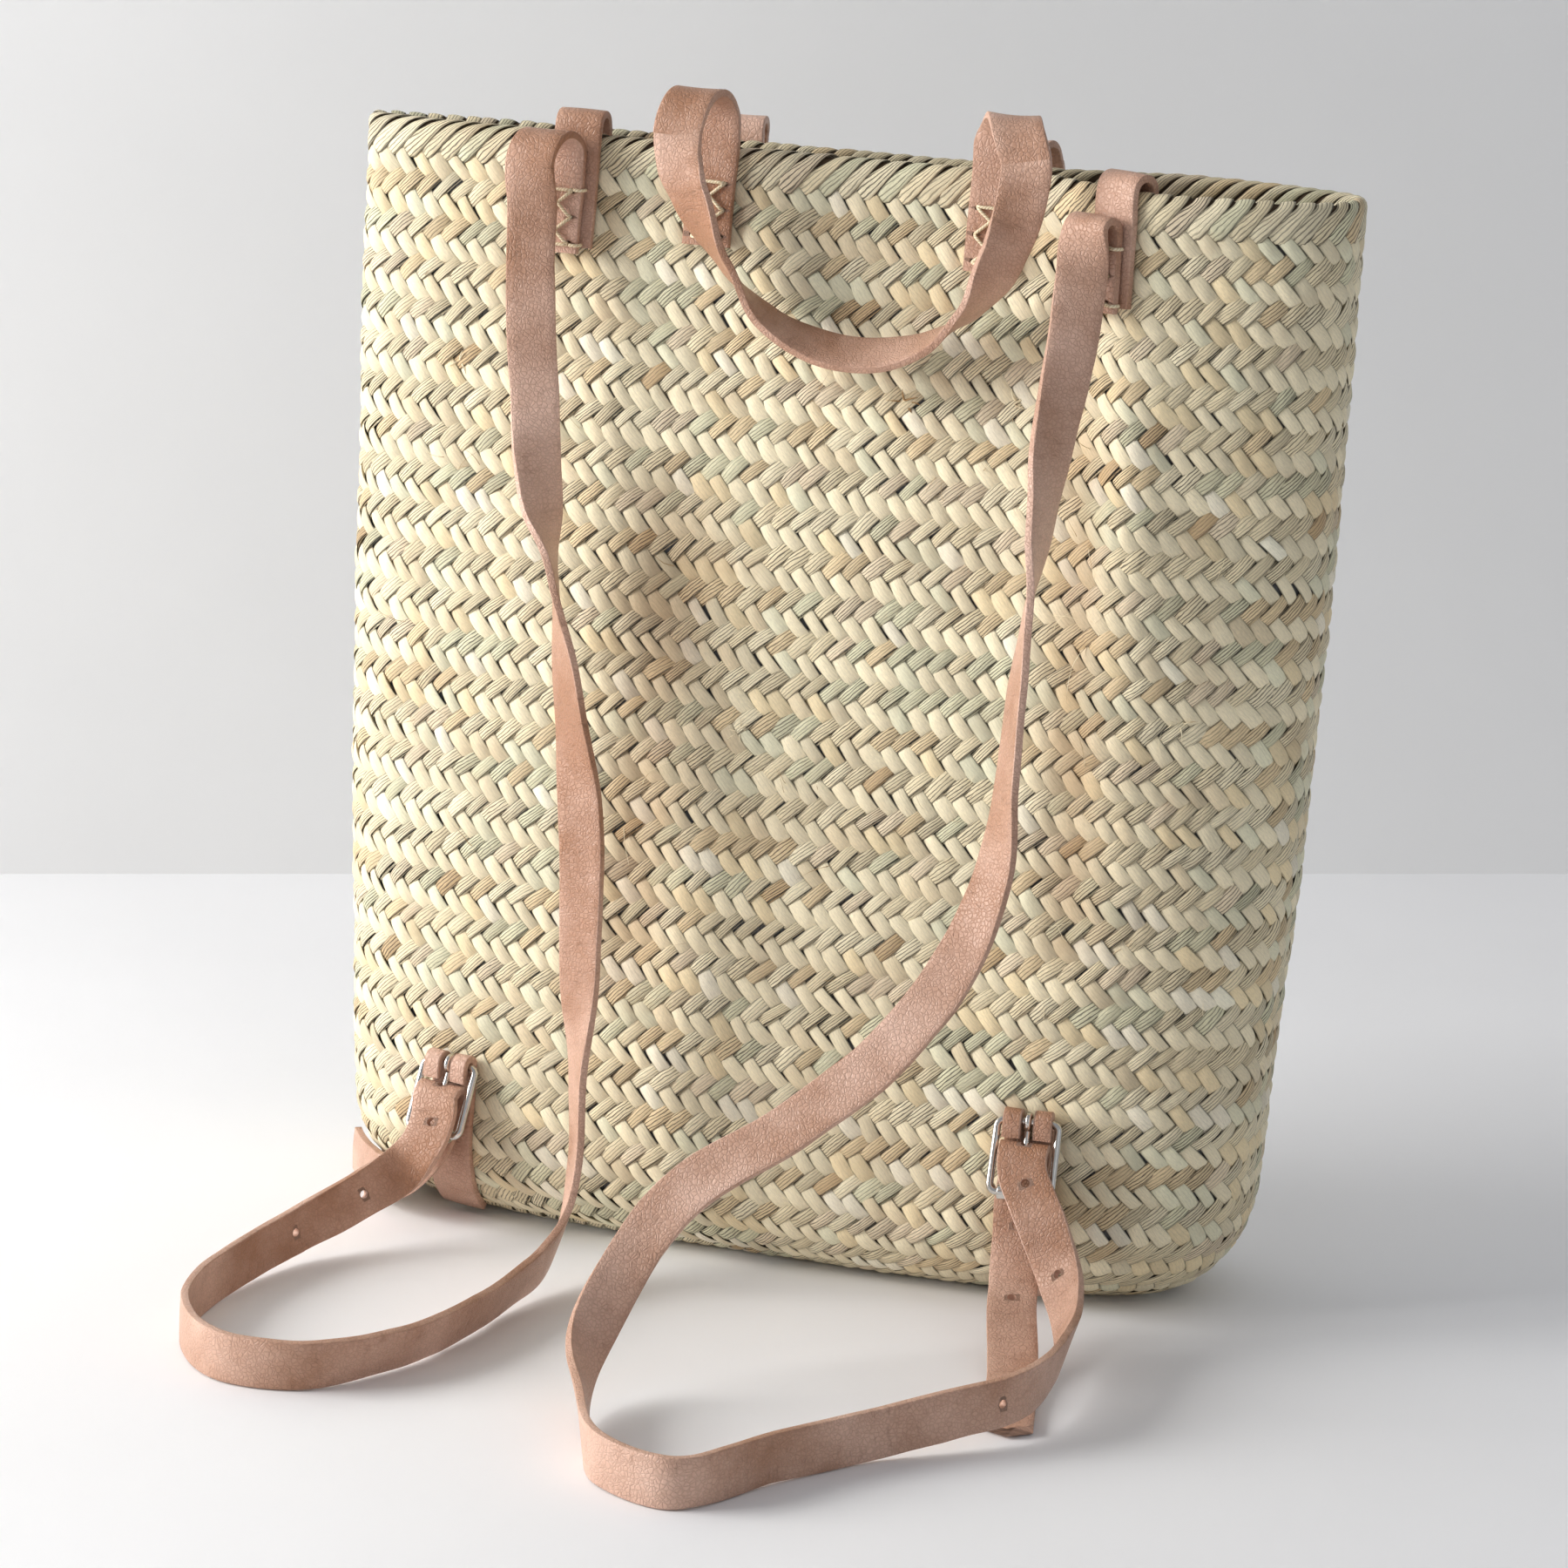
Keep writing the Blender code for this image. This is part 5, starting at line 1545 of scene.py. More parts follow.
@dataclass
class CarryHandle:
    """A carry handle: two sewn ends that fold over at the rim, and the strap that hangs between them."""

    name: str
    side: Side
    roots: tuple[float, float]
    middle: float
    spread: float
    drop: float
    loop_radius: float
    loop_rise: float
    lean: float
    arm_radius: float = 0.0125
    root_drop: float = 0.0375
    arc_steps: int = 5
    fold_spare: int = 3
    bend_shares: tuple[float, float] = (0.10, 0.15)
    bend_height: float = 0.46
    seat: WallSeat = field(default_factory=WallSeat)
    sewing: SewnPatch = field(default_factory=SewnPatch)
    hang: Shares = (
        (-0.985, 1.02, 0.28, (-0.98, 0.20, 0.0)),
        (-0.91, 1.08, 0.41, (-0.90, 0.43, 0.0)),
        (-0.69, 1.00, 0.68, (-0.60, 0.78, 0.15)),
        (-0.43, 0.90, 0.89, (-0.25, 0.90, 0.35)),
        (-0.10, 0.84, 0.99, (-0.08, 0.87, 0.48)),
        (0.19, 0.84, 1.00, (0.00, 0.86, 0.50)),
        (0.49, 0.86, 0.93, (0.20, 0.87, 0.42)),
        (0.735, 0.96, 0.78, (0.45, 0.85, 0.25)),
        (0.91, 1.05, 0.54, (0.80, 0.60, 0.05)),
        (1.00, 1.06, 0.29, (0.98, 0.20, 0.0)),
    )

    @property
    def fold_height(self) -> float:
        """The height of the folds' middles."""
        return self.seat.form.height + self.loop_rise

    @property
    def leg_out(self) -> float:
        """How far the straight legs stand from the middle plane at the rim."""
        off, height = self.seat.leather_middle, self.seat.form.height
        return max(abs(self.seat.station(self.side, x, height, off)[0].y) for x in self.roots)

    def turned(self, stations: Sequence[Station]) -> list[Station]:
        """Stations laid out on the near side, moved to this handle's own side."""
        if self.side is Side.NEAR:
            return list(stations)
        return [(Vector((p.x, -p.y, p.z)), Vector((-w.x, w.y, -w.z))) for p, w in stations]

    def leg(self, x: float, sign: int) -> list[Station]:
        """Stations up the wall from a sewn end to just under its fold."""
        form = self.seat.form
        bottom = form.height - self.root_drop
        stations = []
        for share in self.seat.shares:
            z = bottom + (form.height - form.rim_band - bottom) * share
            place, width = self.seat.station(self.side, x, z, self.seat.leather_middle)
            mirrored = Vector((width.x, -self.side.value * width.y, 0))
            stations.append((Vector((place.x, -self.side.value * place.y, z)), mirrored * sign))
        for z in (form.height, self.fold_height - ROUTE_STEP):
            stations.append((Vector((x, -self.leg_out, z)), Vector((sign, 0, 0))))
        return stations

    def route(self) -> tuple[list[StrapFrame], list[StrapFrame], list[StrapFrame]]:
        """The frames of the left end, the hanging strap and the right end."""
        outer = [self.middle + self.spread * sign for sign in (-1, 1)]
        fold_y = self.leg_out + self.loop_radius
        arcs: list[list[list[Station]]] = [[], []]
        for x, far, sign in zip(self.roots, outer, (-1, 1)):
            for half, (first, last) in enumerate(((math.pi, math.pi / 2), (math.pi / 2, 0.0))):
                centre = Vector((x + (far - x) / 2 * half, -fold_y, self.fold_height))
                stations = []
                for k, angle in enumerate(turns(first, last, self.arc_steps)):
                    arm = Vector((0, -math.cos(angle), math.sin(angle))) * self.loop_radius
                    place = centre + arm + Vector(((far - x) / 2 * k / self.arc_steps, 0, 0))
                    stations.append((place, Vector((sign, 0, 0))))
                arcs[half].append(stations)
        ends = [
            strap_frames(even_route(self.turned(self.leg(x, sign) + arc)))
            for x, sign, arc in zip(self.roots, (-1, 1), arcs[0])
        ]
        top = self.fold_height + self.loop_radius
        hanging = []
        for across, out, down, width in self.hang:
            y = -(fold_y + self.arm_radius * (out - 1) + self.loop_radius + self.lean * down)
            place = Vector((self.middle + self.spread * across, y, top - self.drop * down))
            hanging.append((place, Vector(width)))
        strap = arcs[1][0] + hanging + list(reversed(arcs[1][1]))
        return ends[0], strap_frames(even_route(self.turned(strap))), ends[1]

    def build(self, leather: Sequence[bpy.types.Material], thread: bpy.types.Material) -> None:
        """Makes, sews and dresses the handle."""
        left, strap, right = self.route()
        half_bend = round(self.loop_radius * math.pi / 2 / ROUTE_STEP) + self.fold_spare
        leg_y, far_y = self.leg_out, self.leg_out + 2 * self.loop_radius
        start = self.side.value * (leg_y + self.bend_shares[0] * self.loop_radius)
        end = self.side.value * (far_y - self.bend_shares[1] * self.loop_radius)
        off = self.seat.leather_middle + self.seat.strap.thick / 2
        bottom = self.seat.form.height - self.root_drop
        for index, (label, frames, x) in enumerate(zip(("left", "right"), (left, right), self.roots)):
            stem = f"{self.name}_{label}"
            cut_leather = LeatherStrap(seed=HANDLE_SEED + index + (4 if self.side is Side.FAR else 0))
            cut = len(frames) - half_bend
            if index:
                back = facing_back(frames)
                sewn, bend = back[half_bend - 1 :], strap[-half_bend - 1 :] + back[1:half_bend]
            else:
                sewn, bend = frames[: cut + 1], frames[cut:] + strap[1 : half_bend + 1]
            piece = cut_leather.swept(f"{stem}_sewn_end", sewn)
            cut_leather.punched(piece, self.sewing.holes(frames))
            dressed(piece, leather, "basket", [f"{stem}_end"])
            piece = cut_leather.swept(f"{stem}_fold", bend, start=ROUTE_STEP * cut)
            low, high = (Vector((x, y, self.bend_height)) for y in (start, end))
            dressed(piece, leather, Bend("basket", self.name, low, high))
            sewing = self.sewing.build(f"{stem}_thread", self.side, x, bottom, off, STITCH_SEED + index)
            dressed(sewing, [thread], "basket", [f"{stem}_stitching"])
        hanging = strap[half_bend:-half_bend]
        piece = LeatherStrap(seed=HANGING_SEED).swept(f"{self.name}_hanging_strap", hanging)
        dressed(piece, leather, self.name, [f"{self.name}_strap"])


@dataclass
class RimStrap:
    """A short strap over the rim, sewn down on both sides under a shoulder strap's end."""

    name: str
    x: float
    slide: float
    rise: float
    seat: WallSeat = field(default_factory=WallSeat)
    drop: float = 0.043

    def build(self, leather: Sequence[bpy.types.Material]) -> None:
        """Makes and dresses the strap."""
        form = self.seat.form
        outer = self.seat.leather_middle
        inner = -form.wall - outer
        low, high = form.height - self.drop, form.height - form.rim_band
        heights = [low + (high - low) * share for share in self.seat.shares]
        stations = [self.seat.station(Side.NEAR, self.x, z, outer, self.slide) for z in heights]
        top, width = self.seat.station(Side.NEAR, self.x, form.height, outer, self.slide)
        back, _ = self.seat.station(Side.NEAR, self.x, form.height, inner, self.slide)
        centre = (top + back) / 2 + Vector((0, 0, self.rise))
        arm = (top - back) / 2
        for angle in turns(0, math.pi, 8):
            up = Vector((0, 0, arm.length * math.sin(angle)))
            stations.append((centre + arm * math.cos(angle) + up, width))
        stations += [self.seat.station(Side.NEAR, self.x, z, inner, self.slide) for z in reversed(heights)]
        frames = facing_back(strap_frames(even_route(stations)))
        piece = LeatherStrap(seed=RIM_STRAP_SEED + (self.x > 0)).swept(self.name + "_leather", frames)
        dressed(piece, leather, "basket", [self.name])


@dataclass
class LooseFibres:
    """Fine hairs and torn leaf ends that stand out of the braid here and there. Sizes are in metres."""

    form: BasketForm = field(default_factory=BasketForm)
    hairs: int = 120
    points: int = 7
    root: float = 0.0024
    spread: float = 0.172
    heights: tuple[float, float] = (0.10, 0.385)
    seed: int = 17
    tufts: tuple[tuple[Side, float, float], ...] = (
        (Side.NEAR, -0.150, 0.344),
        (Side.NEAR, 0.033, 0.347),
        (Side.NEAR, 0.076, 0.350),
        (Side.NEAR, 0.152, 0.238),
        (Side.NEAR, 0.140, 0.150),
        (Side.NEAR, -0.020, 0.215),
        (Side.FAR, 0.060, 0.150),
        (Side.FAR, -0.120, 0.300),
    )

    def hair(
        self,
        bm: bmesh.types.BMesh,
        foot: tuple[Side, float, float],
        length: float,
        thick: float,
        rng: np.random.Generator,
    ) -> None:
        """Adds one tapered hair that grows out between two leaves and curls over.

        Args:
            bm: The mesh that it is added to.
            foot: The wall, and the x and height where it comes out.
            length: How long it is.
            thick: Its radius at the foot.
            rng: The seeded source of chance.
        """
        side, x, z = foot
        outward = Vector((0.0, side.value, 0.0))
        turn = rng.uniform(0.0, math.tau)
        lay = Vector((math.cos(turn), 0.0, math.sin(turn)))
        curl = lay.cross(outward) * rng.uniform(-0.5, 0.5) - Vector((0.0, 0.0, 0.25 * rng.random()))
        lean = rng.uniform(0.12, 0.42)
        start = Vector((x, self.form.wall_y(side, x, z), z)) - outward * self.root
        path, radii = [], []
        for step in range(self.points):
            share = step / (self.points - 1)
            out = self.root * min(1.0, 3 * share) + length * lean * (share - 0.5 * share * share)
            path.append(start + (lay * share + curl * share * share) * length + outward * out)
            radii.append(thick * (1.0 - 0.8 * share))
        rolled_tube(bm, path, radii, sides=4)

    def build(self, straw: bpy.types.Material) -> None:
        """Grows the hairs on both walls and the tufts where a leaf was cut off."""
        rng = np.random.default_rng(self.seed)
        bm = bmesh.new()
        for count in range(self.hairs):
            side = Side.FAR if count % 3 == 0 else Side.NEAR
            foot = (side, rng.uniform(-self.spread, self.spread), rng.uniform(*self.heights))
            self.hair(bm, foot, rng.uniform(0.007, 0.019), rng.uniform(0.00010, 0.00022), rng)
        for side, x, z in self.tufts:
            for _ in range(6):
                foot = (side, x + rng.uniform(-0.0015, 0.0015), z + rng.uniform(-0.001, 0.001))
                self.hair(bm, foot, rng.uniform(0.004, 0.007), rng.uniform(0.00035, 0.0006), rng)
        dressed(new_piece("loose_fibres", bm), [straw], "basket")


@dataclass
class BuckleShape:
    """A roller buckle's sizes: a rounded wire frame, the tube that turns on its foot, and a round prong."""

    wire: float = 0.0015
    half_width: float = 0.012
    length: float = 0.028
    corner: float = 0.003
    tilt: float = math.radians(24)
    clear: float = 0.0003
    roller: float = 0.003
    roller_half: float = 0.0086
    roller_rim: float = 0.0005
    prong: float = 0.0012
    prong_length: float = 0.022
    prong_taper: float = 0.25
    tip_start: float = 0.93
    tip_length: float = 0.07
    fold: float = 0.0046
    fold_top: float = 0.0095


@dataclass
class RollerBuckle:
    """A buckle that hangs on its tab at the foot of the near wall.

    Sizes are in metres; x and z give its bar's middle on the wall.
    """

    name: str
    x: float
    z: float
    shape: BuckleShape = field(default_factory=BuckleShape)
    seat: WallSeat = field(default_factory=WallSeat)
    tab_start: float = math.radians(33)
    tab_front: float = 0.0055
    tab_step: float = 0.0007
    slot_width: float = 0.005
    slot_spare: float = 0.002

    @property
    def yaw(self) -> float:
        """The wall's turn about Z behind the buckle."""
        return self.seat.yaw(Side.NEAR, self.x, self.z)

    @property
    def bar(self) -> Vector:
        """The middle of the bar."""
        off = self.seat.gap + self.seat.strap.thick + self.shape.clear + self.shape.wire
        return self.seat.station(Side.NEAR, self.x, self.z, off)[0]

    @property
    def matrix(self) -> Matrix:
        """From the buckle's axes (along the bar, into the wall, up the frame) to the world."""
        tilt = Matrix.Rotation(-self.shape.tilt, 4, "X")
        return Matrix.Translation(self.bar) @ Matrix.Rotation(self.yaw, 4, "Z") @ tilt

    def place(self, across: float, out: float, down: float) -> Vector:
        """A world place from distances across, out of and down the tilted frame."""
        return self.matrix @ Vector((across, -out, -down))

    def build(self, nickel: bpy.types.Material, leather: Sequence[bpy.types.Material]) -> None:
        """Makes and dresses the frame, the roller, the prong and the tab."""
        pieces = (
            (self.frame(), "buckle", "frame"),
            (self.roller(), "roller", "roller"),
            (self.prong(), "prong", "prong"),
        )
        for piece, body, node in pieces:
            nodes = [f"{self.name}_buckle_{node}"]
            dressed(piece, [nickel], f"{self.name}_{body}", nodes)
        dressed(self.tab(), leather, "basket", [f"{self.name}_buckle_tab"])

    def frame(self) -> bpy.types.Object:
        """The bent wire frame, its bar a little thinner where the tab holds it."""
        shape = self.shape
        inner = shape.half_width - shape.corner
        corners = (
            (inner, -shape.corner, 0.0),
            (-inner, -shape.corner, math.pi / 2),
            (-inner, shape.corner - shape.length, math.pi),
            (inner, shape.corner - shape.length, 3 * math.pi / 2),
        )
        path = []
        for x, z, start in corners:
            for turn in turns(0, math.pi / 2, 8):
                angle = start + turn
                across, up = x + shape.corner * math.cos(angle), z + shape.corner * math.sin(angle)
                path.append(self.matrix @ Vector((across, 0, up)))
        bm = bmesh.new()
        rolled_tube(bm, path, [shape.wire] * len(path), sides=16, ring=True)
        return new_piece(f"{self.name}_wire_frame", bm)

    def roller(self) -> bpy.types.Object:
        """The tube on the frame's foot, its rims rounded."""
        shape = self.shape
        bore, wall, half, rim = shape.wire + shape.clear, shape.roller, shape.roller_half, shape.roller_rim
        bm = bmesh.new()
        section = (
            (bore, -half), (bore, half), (wall - rim, half), (wall - 0.3 * rim, half - 0.3 * rim),
            (wall, half - rim), (wall, rim - half), (wall - 0.3 * rim, 0.3 * rim - half), (wall - rim, -half),
        )
        points = [bm.verts.new((along, radius, 0)) for radius, along in section]
        edges = [bm.edges.new((point, points[(i + 1) % len(points)])) for i, point in enumerate(points)]
        bmesh.ops.spin(
            bm, geom=points + edges, cent=(0, 0, 0), axis=(1, 0, 0), angle=math.tau, steps=40, use_merge=True
        )
        bmesh.ops.remove_doubles(bm, verts=bm.verts, dist=WELD)
        bmesh.ops.recalc_face_normals(bm, faces=bm.faces)
        for face in bm.faces:
            face.smooth = True
        for edge in bm.edges:
            if len(edge.link_faces) == 2 and edge.calc_face_angle(0) > 1.0:
                edge.smooth = False
        bmesh.ops.translate(bm, vec=(0, 0, -shape.length), verts=bm.verts)
        bmesh.ops.transform(bm, matrix=self.matrix, verts=bm.verts)
        return new_piece(f"{self.name}_turning_tube", bm)

    def prong(self) -> bpy.types.Object:
        """The prong: its eye round the bar and its tapered tongue."""
        shape = self.shape
        ring = shape.wire + shape.clear + shape.prong
        bm = bmesh.new()
        eye = [
            self.matrix @ Vector((0, ring * math.cos(angle), ring * math.sin(angle)))
            for angle in turns(0, math.tau, 28)[:-1]
        ]
        rolled_tube(bm, eye, [shape.prong] * len(eye), sides=12, ring=True)
        path, radii = [], []
        start = ring - shape.prong * 0.4
        for k in range(15):
            t = k / 14
            path.append(self.matrix @ Vector((0, 0, -start - (shape.prong_length - start) * t)))
            taper = shape.prong * (1 - shape.prong_taper * t)
            tip = max(t - shape.tip_start, 0.0) ** 2 / shape.tip_length**2
            radii.append(taper * math.sqrt(max(1 - tip, 0.06)))
        rolled_tube(bm, path, radii, sides=12)
        return new_piece(f"{self.name}_tongue", bm)

    def tab(self) -> bpy.types.Object:
        """The tab from under the bottom edge, up the wall and round the bar, slotted for the prong."""
        seat, shape, radius = self.seat, self.shape, self.seat.form.edge_radius
        off = seat.gap + seat.strap.thick / 2
        yaw, bar = self.yaw, self.bar
        outward = Vector((math.sin(yaw), -math.cos(yaw), 0))
        width = Vector((math.cos(yaw), math.sin(yaw), 0))
        stations = []
        for angle in turns(self.tab_start, math.pi / 2, 4):
            wall, _ = seat.station(Side.NEAR, self.x, radius * (1 - math.cos(angle)), 0)
            lift = outward * (off * math.sin(angle)) - Vector((0, 0, off * math.cos(angle)))
            stations.append((wall + lift, width))
        for share in (0.5, 0.92):
            z = radius + (bar.z - radius) * share
            stations.append((seat.station(Side.NEAR, self.x, z, off)[0], width))
        loop = shape.wire + shape.clear + seat.strap.thick / 2
        for angle in turns(0, math.pi, 8):
            place = bar - outward * (loop * math.cos(angle)) + Vector((0, 0, loop * math.sin(angle)))
            stations.append((place, width))
        stations.append((bar + outward * loop - Vector((0, 0, self.tab_front)), width))
        frames = facing_back(strap_frames(even_route(stations, self.tab_step)))
        piece = LeatherStrap(seed=TAB_SEED + (self.x > 0)).swept(f"{self.name}_tab", frames)
        depth = 2 * (loop + seat.strap.thick)
        height = self.tab_front + self.slot_spare + loop + seat.strap.thick + self.slot_width / 2
        middle = (height - self.slot_width) / 2 - self.tab_front - shape.clear
        low = StrapFrame(bar + Vector((0, 0, middle)), Vector((0, 0, 1)), width, -outward)
        wide = LeatherStrap(thick=depth / LeatherStrap.punch_reach)
        return wide.punched(piece, [(low, self.slot_width / 2, height - self.slot_width)])


@dataclass
class ShoulderStrap:
    """A shoulder strap: sewn at the rim, folded over, hanging to the floor and up through its buckle.

    The tables give places in shares of its reach, from its sewn end where it hangs and from the buckle's bar
    on the floor and in the tail, with the direction of its width.
    """

    name: str
    root_x: float
    fold_drop: float
    fold_radius: float
    fold_shift: float
    buckle: RollerBuckle
    hang: Shares
    ground: Shares
    hook: Shares
    hook_cut: tuple[float, float, float, tuple[float, float, float]]
    hook_tail: tuple[float, float, float]
    tail: Shares
    leather: LeatherStrap
    run_holes: tuple[float, ...]
    reach: float = 0.250
    root_drop: float = 0.045
    patch_lift: float = 0.0008
    floor_gap: float = 0.0005
    tail_holes: tuple[float, ...] = (0.07, 0.32)
    into_bend: tuple[int, int] = (55, 32)
    bend_shares: tuple[float, float] = (0.04, 0.60)
    prong_play: float = 0.0006
    prong_slot: float = 0.0046
    ease: int = 8
    wrap: float = 0.0042
    sewing: SewnPatch = field(default_factory=SewnPatch)

    def stations_from(self, shares: Shares, foot: tuple[float, float], rise: float) -> list[Station]:
        """World stations from a table, measured from a foot and above a strap that lies on its edge."""
        lying = self.leather.width / 2 + self.floor_gap
        return [
            (Vector((foot[0] + a * self.reach, foot[1] - out * self.reach, lying + up * rise)), Vector(width))
            for a, out, up, width in shares
        ]

    def through_buckle(self) -> tuple[list[Station], list[Station], list[Station]]:
        """Stations in front of the roller, over it, and behind it."""
        shape, matrix = self.buckle.shape, self.buckle.matrix
        turn = matrix.to_3x3()
        level = turn @ Vector((1, 0, 0))

        def place(across: float, out: float, down: float) -> Vector:
            """A world place from shares of the buckle's half width, its fold and its length."""
            return self.buckle.place(across * shape.half_width, out * shape.fold, down * shape.length)

        front = [
            (place(a, out, down), turn @ Vector(width))
            for a, out, down, width in (self.hook_cut, *reversed(self.hook))
        ]
        fold = []
        for angle in turns(0, math.pi, 8):
            down = shape.fold_top + shape.fold * (1 - math.sin(angle))
            fold.append((self.buckle.place(0, shape.fold * math.cos(angle), down), level))
        across, out, down = self.hook_tail
        halfway = (1 + down) / 2 - shape.fold_top / shape.length
        back = [(place(across / 2, out, halfway), level), (place(across, out, down), level)]
        return front, fold, back

    def route(self) -> tuple[list[StrapFrame], int, int]:
        """All frames from sewn end to tip, with the numbers where the buckle's stretch starts and ends."""
        seat = self.buckle.seat
        off = seat.form.rim_proud + seat.gap + seat.strap.thick * 1.5 + self.patch_lift
        bottom = seat.form.height - self.root_drop
        fold_z = seat.form.height - self.fold_drop
        heights = [bottom + (fold_z - bottom) * share for share in seat.shares]
        stations = [seat.station(Side.NEAR, self.root_x, z, off) for z in heights]
        foot, width = stations[-1]
        outward = Vector((width.y, -width.x, 0))
        for k, angle in enumerate(turns(0, math.pi, 8)[1:], start=1):
            rise = Vector((self.fold_shift * k / 8, 0, self.fold_radius * math.sin(angle)))
            arm = self.fold_radius * (1 - math.cos(angle))
            stations.append((foot + outward * arm + rise, width))
        front, fold, back = self.through_buckle()
        bar = self.buckle.bar
        stations += self.stations_from(self.hang, (self.root_x, 0.0), seat.form.height)
        stations += self.stations_from(self.ground, (bar.x, bar.y), self.reach)
        stations += front + fold + back + self.stations_from(self.tail, (bar.x, bar.y), self.reach)
        frames = strap_frames(even_route(stations), self.ease)
        ends = [
            min(range(len(frames)), key=lambda i, spot=spot: (frames[i].place - spot).length)
            for spot in (front[0][0], back[-1][0])
        ]
        return frames, ends[0], ends[1]

    def build(self, finishes: Sequence[bpy.types.Material], thread: bpy.types.Material) -> None:
        """Makes, punches, sews and dresses the strap."""
        frames, start, end = self.route()
        shape = self.buckle.shape
        radius = self.leather.hole_radius
        holes = {round(share * start): (radius, 0.0) for share in self.run_holes}
        tail_steps = len(frames) - 1 - end
        holes |= {end + round(share * tail_steps): (radius, 0.0) for share in self.tail_holes}
        inverse = self.buckle.matrix.inverted()
        apex = max(range(start, end + 1), key=lambda i: (inverse @ frames[i].place).z)
        holes[apex] = (shape.prong + self.prong_play, self.prong_slot)
        first, last = start - self.into_bend[0], end + self.into_bend[1]
        low, top = frames[first].place, frames[apex].place - frames[first].place
        chord = (frames[last].place - low).normalized()
        rise = top - chord * top.dot(chord)
        hinge = Bend("basket", f"{self.name}_buckle", *(low + rise * share for share in self.bend_shares))
        stretches = (
            ("run", 0, first, "basket", "shoulder_strap"),
            ("through_buckle", first, last, hinge, "strap_in_buckle"),
            ("tail", last, len(frames) - 1, "basket", "strap_tail"),
        )
        for label, low, high, body, node in stretches:
            name = f"{self.name}_leather_{label}"
            piece = self.leather.swept(name, frames[low : high + 1], label == "tail", low * ROUTE_STEP)
            inside = [(frames[i], *holes[i]) for i in sorted(holes) if low < i < high]
            if label == "run":
                inside += self.sewing.holes(frames)
            self.leather.punched(piece, inside)
            dressed(piece, finishes, body, [f"{self.name}_{node}"])
        seat = self.buckle.seat
        off = seat.form.rim_proud + seat.gap + seat.strap.thick * 2 + self.patch_lift
        bottom = seat.form.height - self.root_drop
        seed = PATCH_SEED + (self.root_x > 0)
        name = f"{self.name}_patch_thread"
        sewn = self.sewing.build(name, Side.NEAR, self.root_x, bottom, off, seed, self.wrap)
        dressed(sewn, [thread], "basket", [f"{self.name}_strap_stitching"])


